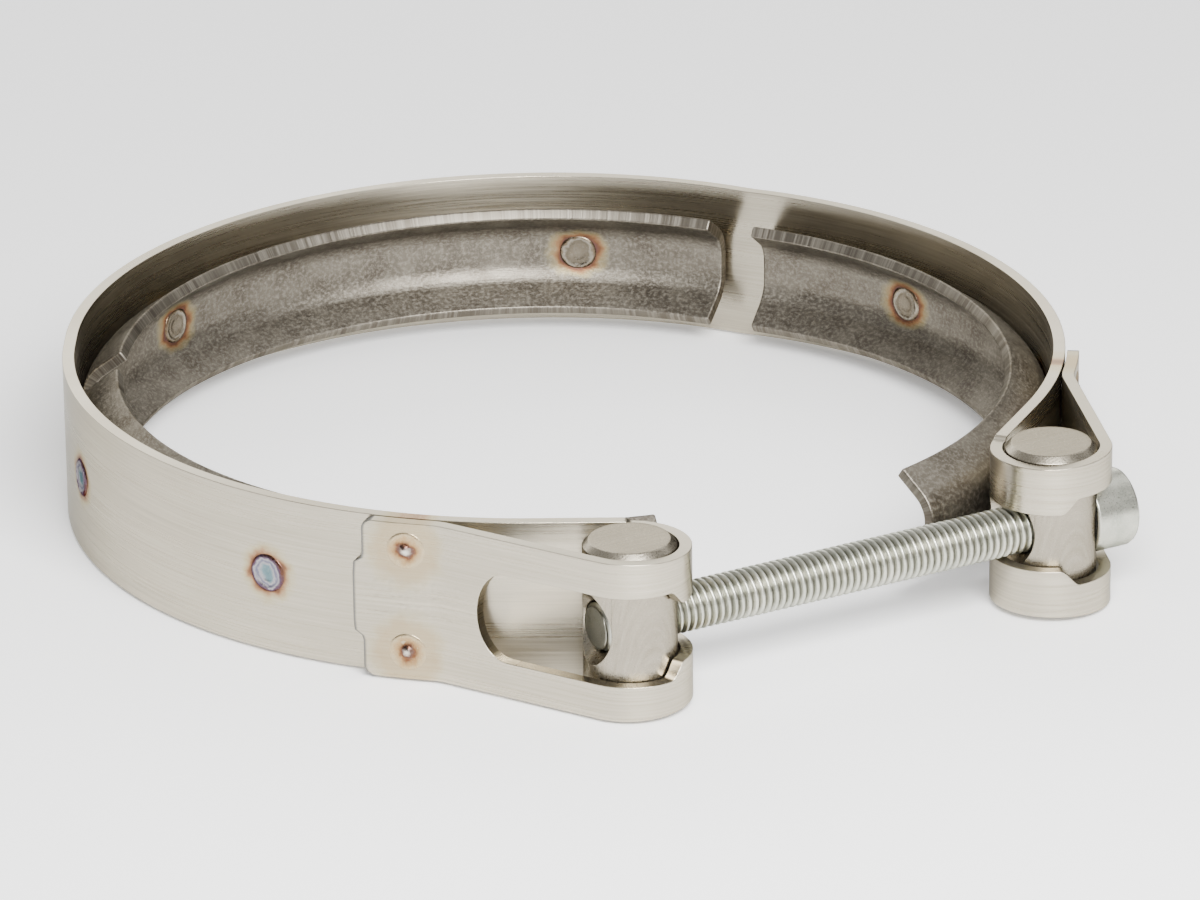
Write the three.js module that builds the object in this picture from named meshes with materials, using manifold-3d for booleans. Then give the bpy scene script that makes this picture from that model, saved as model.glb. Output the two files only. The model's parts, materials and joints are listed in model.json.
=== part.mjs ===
// A V-band clamp: a flat stainless strap folded back into a loop at each end, three V-profile retainer segments spot
// welded inside it, a cross barrel in each loop, and one socket head screw that draws the loops together.
//
// Millimetres, +Z up along the clamp's own axis. The screw lies parallel to X and the mouth of the ring faces -Y. The
// origin is the bottom centre of the bounding box, so the clamp lies flat on the plane z = 0.
import * as THREE from "three";
import { mergeVertices } from "three/addons/utils/BufferGeometryUtils.js";
import Module from "manifold-3d";

const wasm = await Module();
wasm.setup();

// ---- Driving dimensions ----

const GAP = 0.3; // running clearance between pieces that touch on the real clamp
const BAND_RADIUS = 79; // outer face of the strap with the ring closed true
const STRAP_WIDTH = 26.7;
const STRAP_THICKNESS = 2;

const HINGE_ANGLE = 59.3; // from the back of the ring to the bare stretch of strap that flexes, each way, degrees
const BARREL_ANGLE = 161.1; // from the back of the ring to the barrel's axis
const BARREL_ORBIT = 88.2; // ring centre to barrel axis, ring closed true
const LEFT_OPENING = 2.5; // how far each arm is sprung open at rest, degrees
const RIGHT_OPENING = 7.15;

const TAIL_BEND_ANGLE = 140.5; // where the outer leg of the loop comes down onto the ring
const TAIL_END_ANGLE = 131.6; // free end of the strap
const TONGUE_ANGLE = 130.3; // the middle of the free end runs a little further
const TONGUE_WIDTH = 12.6;

const WINDOW_HEIGHT = 14; // the slot in the loop is wide at the outer leg, for the screw head
const SLOT_HEIGHT = 9.8; // and narrow at the crest, for the shank
const WINDOW_END_TO_BEND = 6.8; // solid strap between the tail bend and the window
const NARROWING = 25; // the slot narrows this far before the crest, degrees about the barrel
const SLOT_CENTRE = 66; // and its round end is centred this far past the crest

const SEGMENT_THICKNESS = 2;
const SEGMENT_END = 2.85; // bare strap each side of a flex point, degrees
const LEFT_MOUTH_ANGLE = 167.2; // where the arm segments stop at the mouth, from the back of the ring
const RIGHT_MOUTH_ANGLE = 172.6;
const WEB_HALF_WIDTH = 4.6; // section of a segment, at the middle of its sheet
const FLANGE_DEPTH = 6.3;
const FLANGE_SPREAD = 4.5;
const SEGMENT_BEND = 2.2;

const BARREL_RADIUS = 7.5;
const BARREL_LENGTH = 27.7;
const BARREL_CHAMFER = 1;
const THREAD_CLEARANCE = 0.4; // the threaded hole is modelled plain and open, so that the linkage can move
const HEAD_SEAT = 5; // barrel axis to the spot face that the screw head bears on
const HEAD_SEAT_RADIUS = 6.85;

const SHANK_RADIUS = 4; // M8
const SHANK_LENGTH = 90;
const TIP_CHAMFER = 0.8;
const HEAD_RADIUS = 6.5;
const HEAD_HEIGHT = 8;
const HEAD_CHAMFER = 0.6;
const SOCKET_FLATS = 6; // hexagon across flats
const SOCKET_DEPTH = 4.8;

const NUGGET_RADIUS = 2.2; // fused core of a spot weld
const NUGGET_CROWN = 0.25; // and how far it stands proud of the sheets
const BACK_WELDS = [-36.3, 26]; // degrees from the back of the ring, positive towards the left arm
const LEFT_WELDS = [79.8, 118.5];
const RIGHT_WELDS = [85.2, 118.5];
const TAIL_WELD_ANGLE = 136.8;
const TAIL_WELD_RISE = 8.7; // above and below the middle of the strap

// ---- Derived sizes ----

const { degToRad, radToDeg } = THREE.MathUtils;
const MID_HEIGHT = BARREL_LENGTH / 2; // the screw, the segments and the strap share this mid-plane
const STRAP_BOTTOM = MID_HEIGHT - STRAP_WIDTH / 2;
const STRAP_MID = BAND_RADIUS - STRAP_THICKNESS / 2;
const TAIL_MID = BAND_RADIUS + GAP + STRAP_THICKNESS / 2;
const LOOP_MID = BARREL_RADIUS + 0.35 + STRAP_THICKNESS / 2;
const SEGMENT_MID = BAND_RADIUS - STRAP_THICKNESS - GAP - SEGMENT_THICKNESS / 2;
const FLEX_GAP_ANGLE = radToDeg(GAP / 2 / BAND_RADIUS);

// ---- Materials ----

const steel = (color, roughness) =>
  new THREE.MeshStandardMaterial({ color, roughness, metalness: 1 });
const brushedStrap = () => steel(0xc9c4bb, 0.36);
const millSteel = () => steel(0x98928a, 0.5);
const turnedSteel = () => steel(0xcac6bd, 0.3);
const zincPlate = () => steel(0xc4c4b6, 0.42);
const weldMetal = () => steel(0x8a7560, 0.5);

// ---- Geometry helpers ----

/** A point of the closed ring, by its angle from the back; positive angles run round the right arm. */
function ringPoint(angle, radius) {
  const a = degToRad(90 - angle);
  return new THREE.Vector2(radius * Math.cos(a), radius * Math.sin(a));
}

/** Points of an arc about a centre, between two directions in degrees from +X. */
function arcPoints(centre, radius, from, to, step) {
  const count = Math.max(2, Math.ceil(Math.abs(to - from) / step));
  return Array.from({ length: count + 1 }, (_, i) => {
    const a = degToRad(from + ((to - from) * i) / count);
    return new THREE.Vector2(
      centre.x + radius * Math.cos(a),
      centre.y + radius * Math.sin(a),
    );
  });
}

/** The closed outline of a sheet seen edge on: its middle line, moved half the thickness to each side. */
function sheetOutline(line, thickness) {
  const normals = line.map((p, i) => {
    const before = line[Math.max(0, i - 1)];
    const after = line[Math.min(line.length - 1, i + 1)];
    const along = after.clone().sub(before).normalize();
    return new THREE.Vector2(-along.y, along.x);
  });
  const side = (sign) =>
    line.map((p, i) =>
      p.clone().addScaledVector(normals[i], (sign * thickness) / 2),
    );
  return new THREE.Shape([...side(1), ...side(-1).reverse()]);
}

/** A flat outline raised from one height to another. */
function prism(shape, bottom, top) {
  return new THREE.ExtrudeGeometry(shape, {
    depth: top - bottom,
    bevelEnabled: false,
    curveSegments: 24,
  }).translate(0, 0, bottom);
}

/** A manifold solid of a closed geometry, turned inside out if its faces point inwards. */
function solid(geometry) {
  const bare = new THREE.BufferGeometry().setAttribute(
    "position",
    geometry.getAttribute("position"),
  );
  if (geometry.index) bare.setIndex(geometry.index);
  const merged = mergeVertices(bare, 1e-4);
  const make = (indices) =>
    new wasm.Manifold(
      new wasm.Mesh({
        numProp: 3,
        vertProperties: new Float32Array(merged.attributes.position.array),
        triVerts: new Uint32Array(indices),
      }),
    );
  const made = make(merged.index.array);
  if (made.volume() > 0) return made;
  return make([...merged.index.array].reverse());
}

/** A BufferGeometry of a manifold solid. */
function geometryOf(manifold) {
  const mesh = manifold.getMesh();
  const geometry = new THREE.BufferGeometry()
    .setAttribute("position", new THREE.BufferAttribute(mesh.vertProperties, 3))
    .setIndex(new THREE.BufferAttribute(mesh.triVerts, 1));
  geometry.computeVertexNormals();
  return geometry;
}

/** One base geometry with others cut out of it. */
function cut(base, cutters) {
  return geometryOf(
    cutters.reduce((body, cutter) => body.subtract(solid(cutter)), solid(base)),
  );
}

function piece(name, geometry, material) {
  const mesh = new THREE.Mesh(geometry, material);
  mesh.name = name;
  return mesh;
}

/** A cylinder whose axis leaves the ring's centre at an angle, between two radii. */
function radialCylinder(radius, angle, height, inner, outer, sides) {
  const at = ringPoint(angle, (inner + outer) / 2);
  return new THREE.CylinderGeometry(radius, radius, outer - inner, sides)
    .rotateZ(degToRad(-angle))
    .translate(at.x, at.y, height);
}

// ---- Spot welds ----

const SEGMENT_FACE = SEGMENT_MID - SEGMENT_THICKNESS / 2;
const segmentWeld = (angle) => ({
  angle,
  height: MID_HEIGHT,
  inner: SEGMENT_FACE - NUGGET_CROWN,
  outer: BAND_RADIUS + NUGGET_CROWN,
});
const tailWeld = (rise) => ({
  angle: TAIL_WELD_ANGLE,
  height: MID_HEIGHT + rise,
  inner: BAND_RADIUS - STRAP_THICKNESS - NUGGET_CROWN,
  outer: TAIL_MID + STRAP_THICKNESS / 2 + NUGGET_CROWN,
});

/** The clearance hole that a weld's core fills. */
const weldHole = ({ angle, height, inner, outer }) =>
  radialCylinder(NUGGET_RADIUS + GAP, angle, height, inner - 1, outer + 1, 12);

const nugget = (name, { angle, height, inner, outer }) =>
  piece(
    name,
    radialCylinder(NUGGET_RADIUS, angle, height, inner, outer, 12),
    weldMetal(),
  );

// ---- V-profile retainer segments ----

/** Half section of a segment, in radius and height: a flat web with a flange bent inwards along each edge. */
function segmentSection() {
  const corner = new THREE.Vector2(SEGMENT_MID, WEB_HALF_WIDTH);
  const tip = new THREE.Vector2(
    SEGMENT_MID - FLANGE_DEPTH,
    WEB_HALF_WIDTH + FLANGE_SPREAD,
  );
  const fromCorner = tip.clone().sub(corner).setLength(SEGMENT_BEND);
  const bend = new THREE.QuadraticBezierCurve(
    new THREE.Vector2(SEGMENT_MID, WEB_HALF_WIDTH - SEGMENT_BEND),
    corner,
    corner.clone().add(fromCorner),
  ).getPoints(4);
  const upper = [...bend, tip];
  const lower = upper
    .map((p) => new THREE.Vector2(p.x, -p.y))
    .reverse();
  return sheetOutline([...lower, ...upper], SEGMENT_THICKNESS).getPoints();
}

function segment(name, from, to, welds) {
  const outline = segmentSection();
  const ring = new THREE.LatheGeometry([...outline, outline[0]], 108)
    .rotateX(Math.PI / 2)
    .translate(0, 0, MID_HEIGHT);
  const reach = BAND_RADIUS * 2;
  const wedge = new THREE.Shape([
    new THREE.Vector2(),
    ...arcPoints(new THREE.Vector2(), reach, 90 - from, 90 - to, 30),
  ]);
  const sector = prism(wedge, 0, BARREL_LENGTH);
  const blank = solid(ring).intersect(solid(sector));
  const bored = welds.reduce(
    (body, angle) => body.subtract(solid(weldHole(segmentWeld(angle)))),
    blank,
  );
  return piece(name, geometryOf(bored), millSteel());
}

// ---- Strap ----

const CENTRE = new THREE.Vector2();
const BARREL_AXIS = ringPoint(BARREL_ANGLE, BARREL_ORBIT); // of the right arm, ring closed true
const TAIL_BEND = ringPoint(TAIL_BEND_ANGLE, TAIL_MID);
const STRAP_TOP = STRAP_BOTTOM + STRAP_WIDTH;

// The inner leg leaves the ring on the line that touches both the ring and the loop, from opposite sides.
const INNER_LEG_TURN = radToDeg(Math.acos((STRAP_MID + LOOP_MID) / BARREL_ORBIT));
const LOOP_START = 90 - BARREL_ANGLE + 180 + INNER_LEG_TURN;

// The outer leg runs from the tail bend to the far side of the loop.
const toBend = TAIL_BEND.clone().sub(BARREL_AXIS);
const LEG_DIRECTION = radToDeg(toBend.angle());
const OUTER_LEG_TURN = radToDeg(Math.acos(LOOP_MID / toBend.length()));
const LOOP_END = LEG_DIRECTION - OUTER_LEG_TURN;
const CREST = LEG_DIRECTION + 180;
const outerLegEnd = arcPoints(BARREL_AXIS, LOOP_MID, LOOP_END, LOOP_END + 1, 1)[0];

const loopArc = (from, to) => arcPoints(BARREL_AXIS, LOOP_MID, from, to, 12);

/** Middle line of the right arm's strap, from the flex point round the loop to the free end. */
function armLine() {
  const onRing = arcPoints(
    CENTRE,
    STRAP_MID,
    90 - HINGE_ANGLE - FLEX_GAP_ANGLE,
    90 - BARREL_ANGLE + INNER_LEG_TURN,
    4,
  );
  const tail = arcPoints(
    CENTRE,
    TAIL_MID,
    90 - TAIL_BEND_ANGLE,
    90 - TONGUE_ANGLE,
    4,
  );
  return [...onRing, ...loopArc(LOOP_START, LOOP_END + 360), ...tail];
}

/** What is cut out of the loop: the window for the head, the slot for the shank, and their round ends. */
function loopCutters() {
  const reach = STRAP_THICKNESS * 1.6;
  const alongLeg = TAIL_BEND.clone().sub(outerLegEnd);
  const windowRadius = WINDOW_HEIGHT / 2;
  const roundEnd = outerLegEnd
    .clone()
    .add(
      alongLeg
        .clone()
        .setLength(alongLeg.length() - WINDOW_END_TO_BEND - windowRadius),
    );
  const narrowing = CREST + NARROWING;
  const window = [...loopArc(narrowing, LOOP_END + 360), roundEnd];
  const slot = loopArc(CREST - SLOT_CENTRE, narrowing + 1);
  const slab = (line, height) =>
    prism(
      sheetOutline(line, reach),
      MID_HEIGHT - height / 2,
      MID_HEIGHT + height / 2,
    );
  const plug = (radius, at, direction) =>
    new THREE.CylinderGeometry(radius, radius, reach, 24)
      .rotateZ(degToRad(direction - 90))
      .translate(at.x, at.y, MID_HEIGHT);
  return [
    slab(window, WINDOW_HEIGHT),
    slab(slot, SLOT_HEIGHT),
    plug(windowRadius, roundEnd, LOOP_END),
    plug(SLOT_HEIGHT / 2, slot[0], CREST - SLOT_CENTRE),
  ];
}

/** What trims the free end, so that only its tongue runs on past the shoulders. */
function shoulderCutters() {
  const inner = BAND_RADIUS + GAP / 2;
  const outer = TAIL_MID + STRAP_THICKNESS;
  const corner = new THREE.Shape([
    ringPoint(TAIL_END_ANGLE, inner),
    ringPoint(TAIL_END_ANGLE, outer),
    ringPoint(TONGUE_ANGLE - 2, outer),
    ringPoint(TONGUE_ANGLE - 2, inner),
  ]);
  const rise = TONGUE_WIDTH / 2;
  return [
    prism(corner, STRAP_BOTTOM - 1, MID_HEIGHT - rise),
    prism(corner, MID_HEIGHT + rise, STRAP_TOP + 1),
  ];
}

/** One arm in the closed ring's frame, built as the right arm: strap with its loop, segment and weld nuggets. */
function arm(side, mouthAngle, segmentWelds) {
  const group = new THREE.Group();
  const tailWelds = { upper: TAIL_WELD_RISE, lower: -TAIL_WELD_RISE };
  const holes = [
    ...segmentWelds.map((angle) => weldHole(segmentWeld(angle))),
    ...Object.values(tailWelds).map((rise) => weldHole(tailWeld(rise))),
  ];
  const strap = cut(
    prism(sheetOutline(armLine(), STRAP_THICKNESS), STRAP_BOTTOM, STRAP_TOP),
    [...loopCutters(), ...shoulderCutters(), ...holes],
  );
  group.add(piece(`strap_${side}`, strap, brushedStrap()));
  group.add(
    segment(
      `v_segment_${side}`,
      HINGE_ANGLE + SEGMENT_END,
      mouthAngle,
      segmentWelds,
    ),
  );
  segmentWelds.forEach((angle, i) =>
    group.add(nugget(`weld_segment_${side}_${i + 1}`, segmentWeld(angle))),
  );
  for (const [place, rise] of Object.entries(tailWelds))
    group.add(nugget(`weld_tail_${side}_${place}`, tailWeld(rise)));
  return group;
}

/** The back third of the ring, which both arms flex from. */
function back() {
  const group = new THREE.Group();
  const end = HINGE_ANGLE - FLEX_GAP_ANGLE;
  const line = arcPoints(CENTRE, STRAP_MID, 90 - end, 90 + end, 4);
  const strap = cut(
    prism(sheetOutline(line, STRAP_THICKNESS), STRAP_BOTTOM, STRAP_TOP),
    BACK_WELDS.map((angle) => weldHole(segmentWeld(-angle))),
  );
  group.add(piece("strap_back", strap, brushedStrap()));
  const reach = HINGE_ANGLE - SEGMENT_END;
  group.add(
    segment(
      "v_segment_back",
      -reach,
      reach,
      BACK_WELDS.map((angle) => -angle),
    ),
  );
  BACK_WELDS.forEach((angle, i) =>
    group.add(nugget(`weld_segment_back_${i + 1}`, segmentWeld(-angle))),
  );
  return group;
}

// ---- Barrels and screw, in a frame whose X axis is the screw's ----

/** A cross barrel standing on z = 0 with a chamfer at each end. */
function barrelBlank() {
  const chamfered = BARREL_RADIUS - BARREL_CHAMFER;
  const profile = [
    new THREE.Vector2(0, 0),
    new THREE.Vector2(chamfered, 0),
    new THREE.Vector2(BARREL_RADIUS, BARREL_CHAMFER),
    new THREE.Vector2(BARREL_RADIUS, BARREL_LENGTH - BARREL_CHAMFER),
    new THREE.Vector2(chamfered, BARREL_LENGTH),
    new THREE.Vector2(0, BARREL_LENGTH),
  ];
  return new THREE.LatheGeometry(profile, 36).rotateX(Math.PI / 2);
}

/** A cylinder along X at the screw's height. */
function crossCylinder(radius, from, to, sides) {
  return new THREE.CylinderGeometry(radius, radius, to - from, sides)
    .rotateZ(-Math.PI / 2)
    .translate((from + to) / 2, 0, MID_HEIGHT);
}

const screwHole = (clearance) =>
  crossCylinder(
    SHANK_RADIUS + clearance,
    -2 * BARREL_RADIUS,
    2 * BARREL_RADIUS,
    28,
  );

function threadedBarrel() {
  const bored = cut(barrelBlank(), [screwHole(THREAD_CLEARANCE)]);
  return piece("threaded_barrel", bored, turnedSteel());
}

function plainBarrel() {
  const seat = crossCylinder(HEAD_SEAT_RADIUS, HEAD_SEAT, 2 * BARREL_RADIUS, 36);
  const bored = cut(barrelBlank(), [screwHole(GAP), seat]);
  return piece("plain_barrel", bored, turnedSteel());
}

/** The screw, its bearing face at x = 0 and its shank towards -X. */
function screw() {
  const profile = [
    new THREE.Vector2(0, -SHANK_LENGTH),
    new THREE.Vector2(SHANK_RADIUS - TIP_CHAMFER, -SHANK_LENGTH),
    new THREE.Vector2(SHANK_RADIUS, -SHANK_LENGTH + TIP_CHAMFER),
    new THREE.Vector2(SHANK_RADIUS, 0),
    new THREE.Vector2(HEAD_RADIUS, 0),
    new THREE.Vector2(HEAD_RADIUS, HEAD_HEIGHT - HEAD_CHAMFER),
    new THREE.Vector2(HEAD_RADIUS - HEAD_CHAMFER, HEAD_HEIGHT),
    new THREE.Vector2(0, HEAD_HEIGHT),
  ];
  const blank = new THREE.LatheGeometry(profile, 32)
    .rotateZ(-Math.PI / 2)
    .translate(0, 0, MID_HEIGHT);
  const socketRadius = SOCKET_FLATS / 2 / Math.cos(Math.PI / 6);
  const socket = crossCylinder(
    socketRadius,
    HEAD_HEIGHT - SOCKET_DEPTH,
    HEAD_HEIGHT + 1,
    6,
  );
  return piece("socket_head_screw", cut(blank, [socket]), zincPlate());
}

// ---- Assembly ----

const hinge = ringPoint(HINGE_ANGLE, BAND_RADIUS);

/** An arm turned open about the outer face of the strap at its flex point. */
function openedArm(side, opening, mouthAngle, welds) {
  const flex = new THREE.Group();
  flex.name = `${side}_flex`;
  flex.position.set(hinge.x, hinge.y, 0);
  flex.rotation.z = degToRad(opening);
  const body = arm(side, mouthAngle, welds);
  body.position.set(-hinge.x, -hinge.y, 0);
  flex.add(body);
  return flex;
}

/** Where the right arm's barrel axis stands once the arm is open. */
const openedAxis = (opening) =>
  BARREL_AXIS.clone().rotateAround(hinge, degToRad(opening));

const clamp = new THREE.Group();
clamp.add(back());
clamp.add(openedArm("right", RIGHT_OPENING, RIGHT_MOUTH_ANGLE, RIGHT_WELDS));
const mirrored = new THREE.Group(); // the left arm is the right one's mirror image
mirrored.scale.x = -1;
mirrored.add(openedArm("left", LEFT_OPENING, LEFT_MOUTH_ANGLE, LEFT_WELDS));
clamp.add(mirrored);

const rightAxis = openedAxis(RIGHT_OPENING);
const leftAxis = openedAxis(LEFT_OPENING);
leftAxis.x *= -1;
const span = rightAxis.clone().sub(leftAxis);

const screwLine = new THREE.Group();
screwLine.name = "screw_line";
screwLine.position.set(leftAxis.x, leftAxis.y, 0);
screwLine.rotation.z = Math.atan2(span.y, span.x);
screwLine.add(threadedBarrel());
const rightEnd = new THREE.Group();
rightEnd.position.x = span.length();
rightEnd.add(plainBarrel());
const fastener = screw();
fastener.position.x = HEAD_SEAT + GAP;
rightEnd.add(fastener);
screwLine.add(rightEnd);
clamp.add(screwLine);

clamp.rotation.z = -screwLine.rotation.z;
clamp.updateMatrixWorld(true);
const middle = new THREE.Box3()
  .setFromObject(clamp, true)
  .getCenter(new THREE.Vector3());
clamp.position.set(-middle.x, -middle.y, 0);

export default clamp;
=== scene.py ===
"""A stainless V-band clamp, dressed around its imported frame.

The frame holds the sizes, places and joints. This script makes the visible pieces: the folded
strap, the three V-profile segments, the barrels, the screw and the spot welds, each with its own
finish.
"""

from __future__ import annotations

import json
import logging
import math
from dataclasses import dataclass, field
from enum import Enum
from typing import Callable

import bmesh
import bpy
from mathutils import Matrix, Vector, noise

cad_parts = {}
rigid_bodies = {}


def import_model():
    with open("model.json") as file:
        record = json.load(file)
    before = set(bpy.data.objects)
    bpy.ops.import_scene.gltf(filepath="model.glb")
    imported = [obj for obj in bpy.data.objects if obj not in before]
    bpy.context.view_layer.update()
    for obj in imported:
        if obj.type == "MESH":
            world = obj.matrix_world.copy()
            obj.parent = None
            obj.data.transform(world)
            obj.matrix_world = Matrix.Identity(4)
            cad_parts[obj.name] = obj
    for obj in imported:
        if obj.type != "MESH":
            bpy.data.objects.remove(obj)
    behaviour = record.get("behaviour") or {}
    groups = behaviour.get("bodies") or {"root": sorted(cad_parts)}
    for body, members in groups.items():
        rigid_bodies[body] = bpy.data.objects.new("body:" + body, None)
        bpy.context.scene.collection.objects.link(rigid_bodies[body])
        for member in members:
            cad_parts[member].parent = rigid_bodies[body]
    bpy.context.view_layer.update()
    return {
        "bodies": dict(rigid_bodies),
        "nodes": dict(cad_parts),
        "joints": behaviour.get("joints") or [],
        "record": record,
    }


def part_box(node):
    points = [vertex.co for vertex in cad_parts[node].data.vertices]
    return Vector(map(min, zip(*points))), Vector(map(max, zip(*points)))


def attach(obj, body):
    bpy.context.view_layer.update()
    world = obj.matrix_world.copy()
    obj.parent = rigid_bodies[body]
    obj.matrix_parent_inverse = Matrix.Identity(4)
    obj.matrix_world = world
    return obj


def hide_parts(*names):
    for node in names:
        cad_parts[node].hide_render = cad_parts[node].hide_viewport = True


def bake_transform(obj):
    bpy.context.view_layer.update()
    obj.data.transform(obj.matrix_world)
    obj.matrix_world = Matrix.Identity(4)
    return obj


LOG = logging.getLogger("v_band_clamp")
MM = 0.001
UV_PER_MM = 0.01  # one unit of a piece's own UV map is 100 mm of its surface


class Side(Enum):
    """One arm of the clamp. The value mirrors the right arm's shape in X."""

    LEFT = -1
    RIGHT = 1


def label_of(side: Side | None) -> str:
    """Name an arm, or the back of the ring, which is None."""
    return "back" if side is None else side.name.lower()


def body_of(side: Side | None) -> str:
    """Name the body that an arm, or the back of the ring, belongs to."""
    return "back" if side is None else f"{label_of(side)}_arm"


# ---------------------------------------------------------------- frame and places


def joint_place(frame: dict, name: str) -> Vector:
    """Give a joint's point in millimetres.

    Args:
        name: The joint's name.

    Returns:
        The joint's point in the clamp's frame.
    """
    for joint in frame["joints"]:
        if joint["name"] == name:
            return Vector(joint["pos_m"]) / MM
    raise KeyError(name)


@dataclass(frozen=True)
class Ring:
    """Driving sizes of the ring in millimetres, and where the frame holds it.

    Angles go round from the back of the ring, positive along the right arm, in the ring closed true.
    """

    frame: dict
    band_radius: float = 79.0
    strap_width: float = 26.7
    strap_thickness: float = 2.0
    hinge_angle: float = 59.3
    barrel_angle: float = 161.1
    barrel_orbit: float = 88.2
    sheet_gap: float = 0.3

    def point(self, angle: float, radius: float) -> Vector:
        """Give a point of the closed ring from its angle in degrees and its radius."""
        turn = math.radians(90.0 - angle)
        return Vector((radius * math.cos(turn), radius * math.sin(turn), 0.0))

    @property
    def hinge(self) -> Vector:
        """Where the right arm flexes, in the closed ring."""
        return self.point(self.hinge_angle, self.band_radius)

    @property
    def mid_radius(self) -> float:
        """Radius of the middle of the strap's sheet."""
        return self.band_radius - self.strap_thickness / 2

    @property
    def mid_height(self) -> float:
        """Height of the plane through the middle of the strap and the screw."""
        return joint_place(self.frame, "screw_turn").z

    @property
    def placement(self) -> Matrix:
        """Turn and move the closed ring to where the frame's two flex joints are."""
        left = joint_place(self.frame, "left_flex")
        right = joint_place(self.frame, "right_flex")
        across = right - left
        turn = Matrix.Rotation(math.atan2(across.y, across.x), 4, "Z")
        middle = (left + right) / 2
        centre = middle - turn @ Vector((0.0, self.hinge.y, 0.0))
        return Matrix.Translation((centre.x, centre.y, 0.0)) @ turn

    def mirror(self, side: Side) -> Matrix:
        """Mirror the right arm's shape onto one side."""
        return Matrix.Diagonal((side.value, 1.0, 1.0, 1.0))

    def opening(self, side: Side) -> float:
        """Work out how far the frame holds an arm open.

        Args:
            side: The arm.

        Returns:
            The angle in radians, counter-clockwise on the right arm before it is mirrored.
        """
        name = f"{side.name.lower()}_barrel_pivot"
        local = (self.placement @ self.mirror(side)).inverted() @ joint_place(self.frame, name)
        opened = local - self.hinge
        closed = self.point(self.barrel_angle, self.barrel_orbit) - self.hinge
        return math.atan2(opened.y, opened.x) - math.atan2(closed.y, closed.x)

    def flexed(self, side: Side | None, share: float = 1.0) -> Matrix:
        """Give the placement of an arm, or of the back of the ring.

        Args:
            side: The arm, or None for the back.
            share: How much of the arm's opening applies, from 0 at the back to 1 along the arm.

        Returns:
            The matrix that places a point of the closed right arm in the clamp's frame.
        """
        if side is None:
            return self.placement
        turn = Matrix.Rotation(self.opening(side) * share, 4, "Z")
        about = Matrix.Translation(self.hinge) @ turn @ Matrix.Translation(-self.hinge)
        return self.placement @ self.mirror(side) @ about


# ---------------------------------------------------------------- mesh helpers


def to_object(bm: bmesh.types.BMesh, name: str) -> bpy.types.Object:
    """Turn a bmesh in millimetres into an object at the origin, in metres, shaded smooth.

    Args:
        bm: The mesh, which is freed.
        name: The object's name.

    Returns:
        The new object, linked to the scene.
    """
    bmesh.ops.scale(bm, vec=(MM, MM, MM), verts=bm.verts)
    for face in bm.faces:
        face.smooth = True
    mesh = bpy.data.meshes.new(name)
    bm.to_mesh(mesh)
    bm.free()
    made = bpy.data.objects.new(name, mesh)
    bpy.context.scene.collection.objects.link(made)
    return made


def add_bevel(piece: bpy.types.Object, width: float, segments: int = 2, angle: float = 35.0) -> None:
    """Round a piece's hard edges with a live bevel.

    Args:
        piece: The object.
        width: The bevel's width in millimetres.
        segments: Its segments.
        angle: Edges sharper than this many degrees are rounded.
    """
    bevel = piece.modifiers.new("rounded_edges", "BEVEL")
    bevel.width = width * MM
    bevel.segments = segments
    bevel.limit_method = "ANGLE"
    bevel.angle_limit = math.radians(angle)
    bevel.use_clamp_overlap = True


def even_shading(piece: bpy.types.Object) -> None:
    """Weight a piece's normals by face area, so that rounded edges don't shade the flats."""
    weighted = piece.modifiers.new("even_shading", "WEIGHTED_NORMAL")
    weighted.keep_sharp = True
    weighted.weight = 60


def freeze(piece: bpy.types.Object) -> None:
    """Apply a piece's modifiers to its mesh."""
    graph = bpy.context.evaluated_depsgraph_get()
    applied = bpy.data.meshes.new_from_object(piece.evaluated_get(graph))
    piece.modifiers.clear()
    piece.data = applied


def cut_out(piece: bpy.types.Object, cutter: bpy.types.Object) -> None:
    """Cut one object's solid out of another's, shade the rest smooth and remove the cutter."""
    boolean = piece.modifiers.new("cut", "BOOLEAN")
    boolean.operation = "DIFFERENCE"
    boolean.solver = "EXACT"
    boolean.object = cutter
    bpy.context.view_layer.update()
    freeze(piece)
    bpy.data.objects.remove(cutter)
    for polygon in piece.data.polygons:
        polygon.use_smooth = True


def line_mesh(bm: bmesh.types.BMesh, points: list[Vector]) -> list:
    """Draw a chain of edges through some points.

    Args:
        bm: The mesh to draw in.
        points: The points in order.

    Returns:
        The new vertices and edges, ready to spin.
    """
    verts = [bm.verts.new(p) for p in points]
    edges = [bm.edges.new(pair) for pair in zip(verts, verts[1:])]
    return [*verts, *edges]


def lathe(profile: list[tuple[float, float]], steps: int) -> bmesh.types.BMesh:
    """Spin a profile about the Z axis into a closed solid.

    Args:
        profile: Radius and height of each corner, from axis to axis.
        steps: Steps of the full turn.

    Returns:
        The solid.
    """
    bm = bmesh.new()
    geom = line_mesh(bm, [Vector((r, 0.0, z)) for r, z in profile])
    bmesh.ops.spin(
        bm, geom=geom, cent=(0, 0, 0), axis=(0, 0, 1), angle=math.tau, steps=steps, use_merge=True
    )
    bmesh.ops.remove_doubles(bm, verts=bm.verts, dist=1e-5)
    bmesh.ops.recalc_face_normals(bm, faces=bm.faces)
    return bm


def along_x(bm: bmesh.types.BMesh, x: float, y: float, z: float) -> None:
    """Lay a solid made about Z along the X axis, and move its foot to a point."""
    turn = Matrix.Translation((x, y, z)) @ Matrix.Rotation(math.pi / 2, 4, "Y")
    bmesh.ops.transform(bm, matrix=turn, verts=bm.verts)


# ---------------------------------------------------------------- middle line of the strap


@dataclass(frozen=True)
class Stretch:
    """One stretch of the strap's middle line: its length and its points by share of that length."""

    length: float
    at: Callable[[float], Vector]


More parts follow.
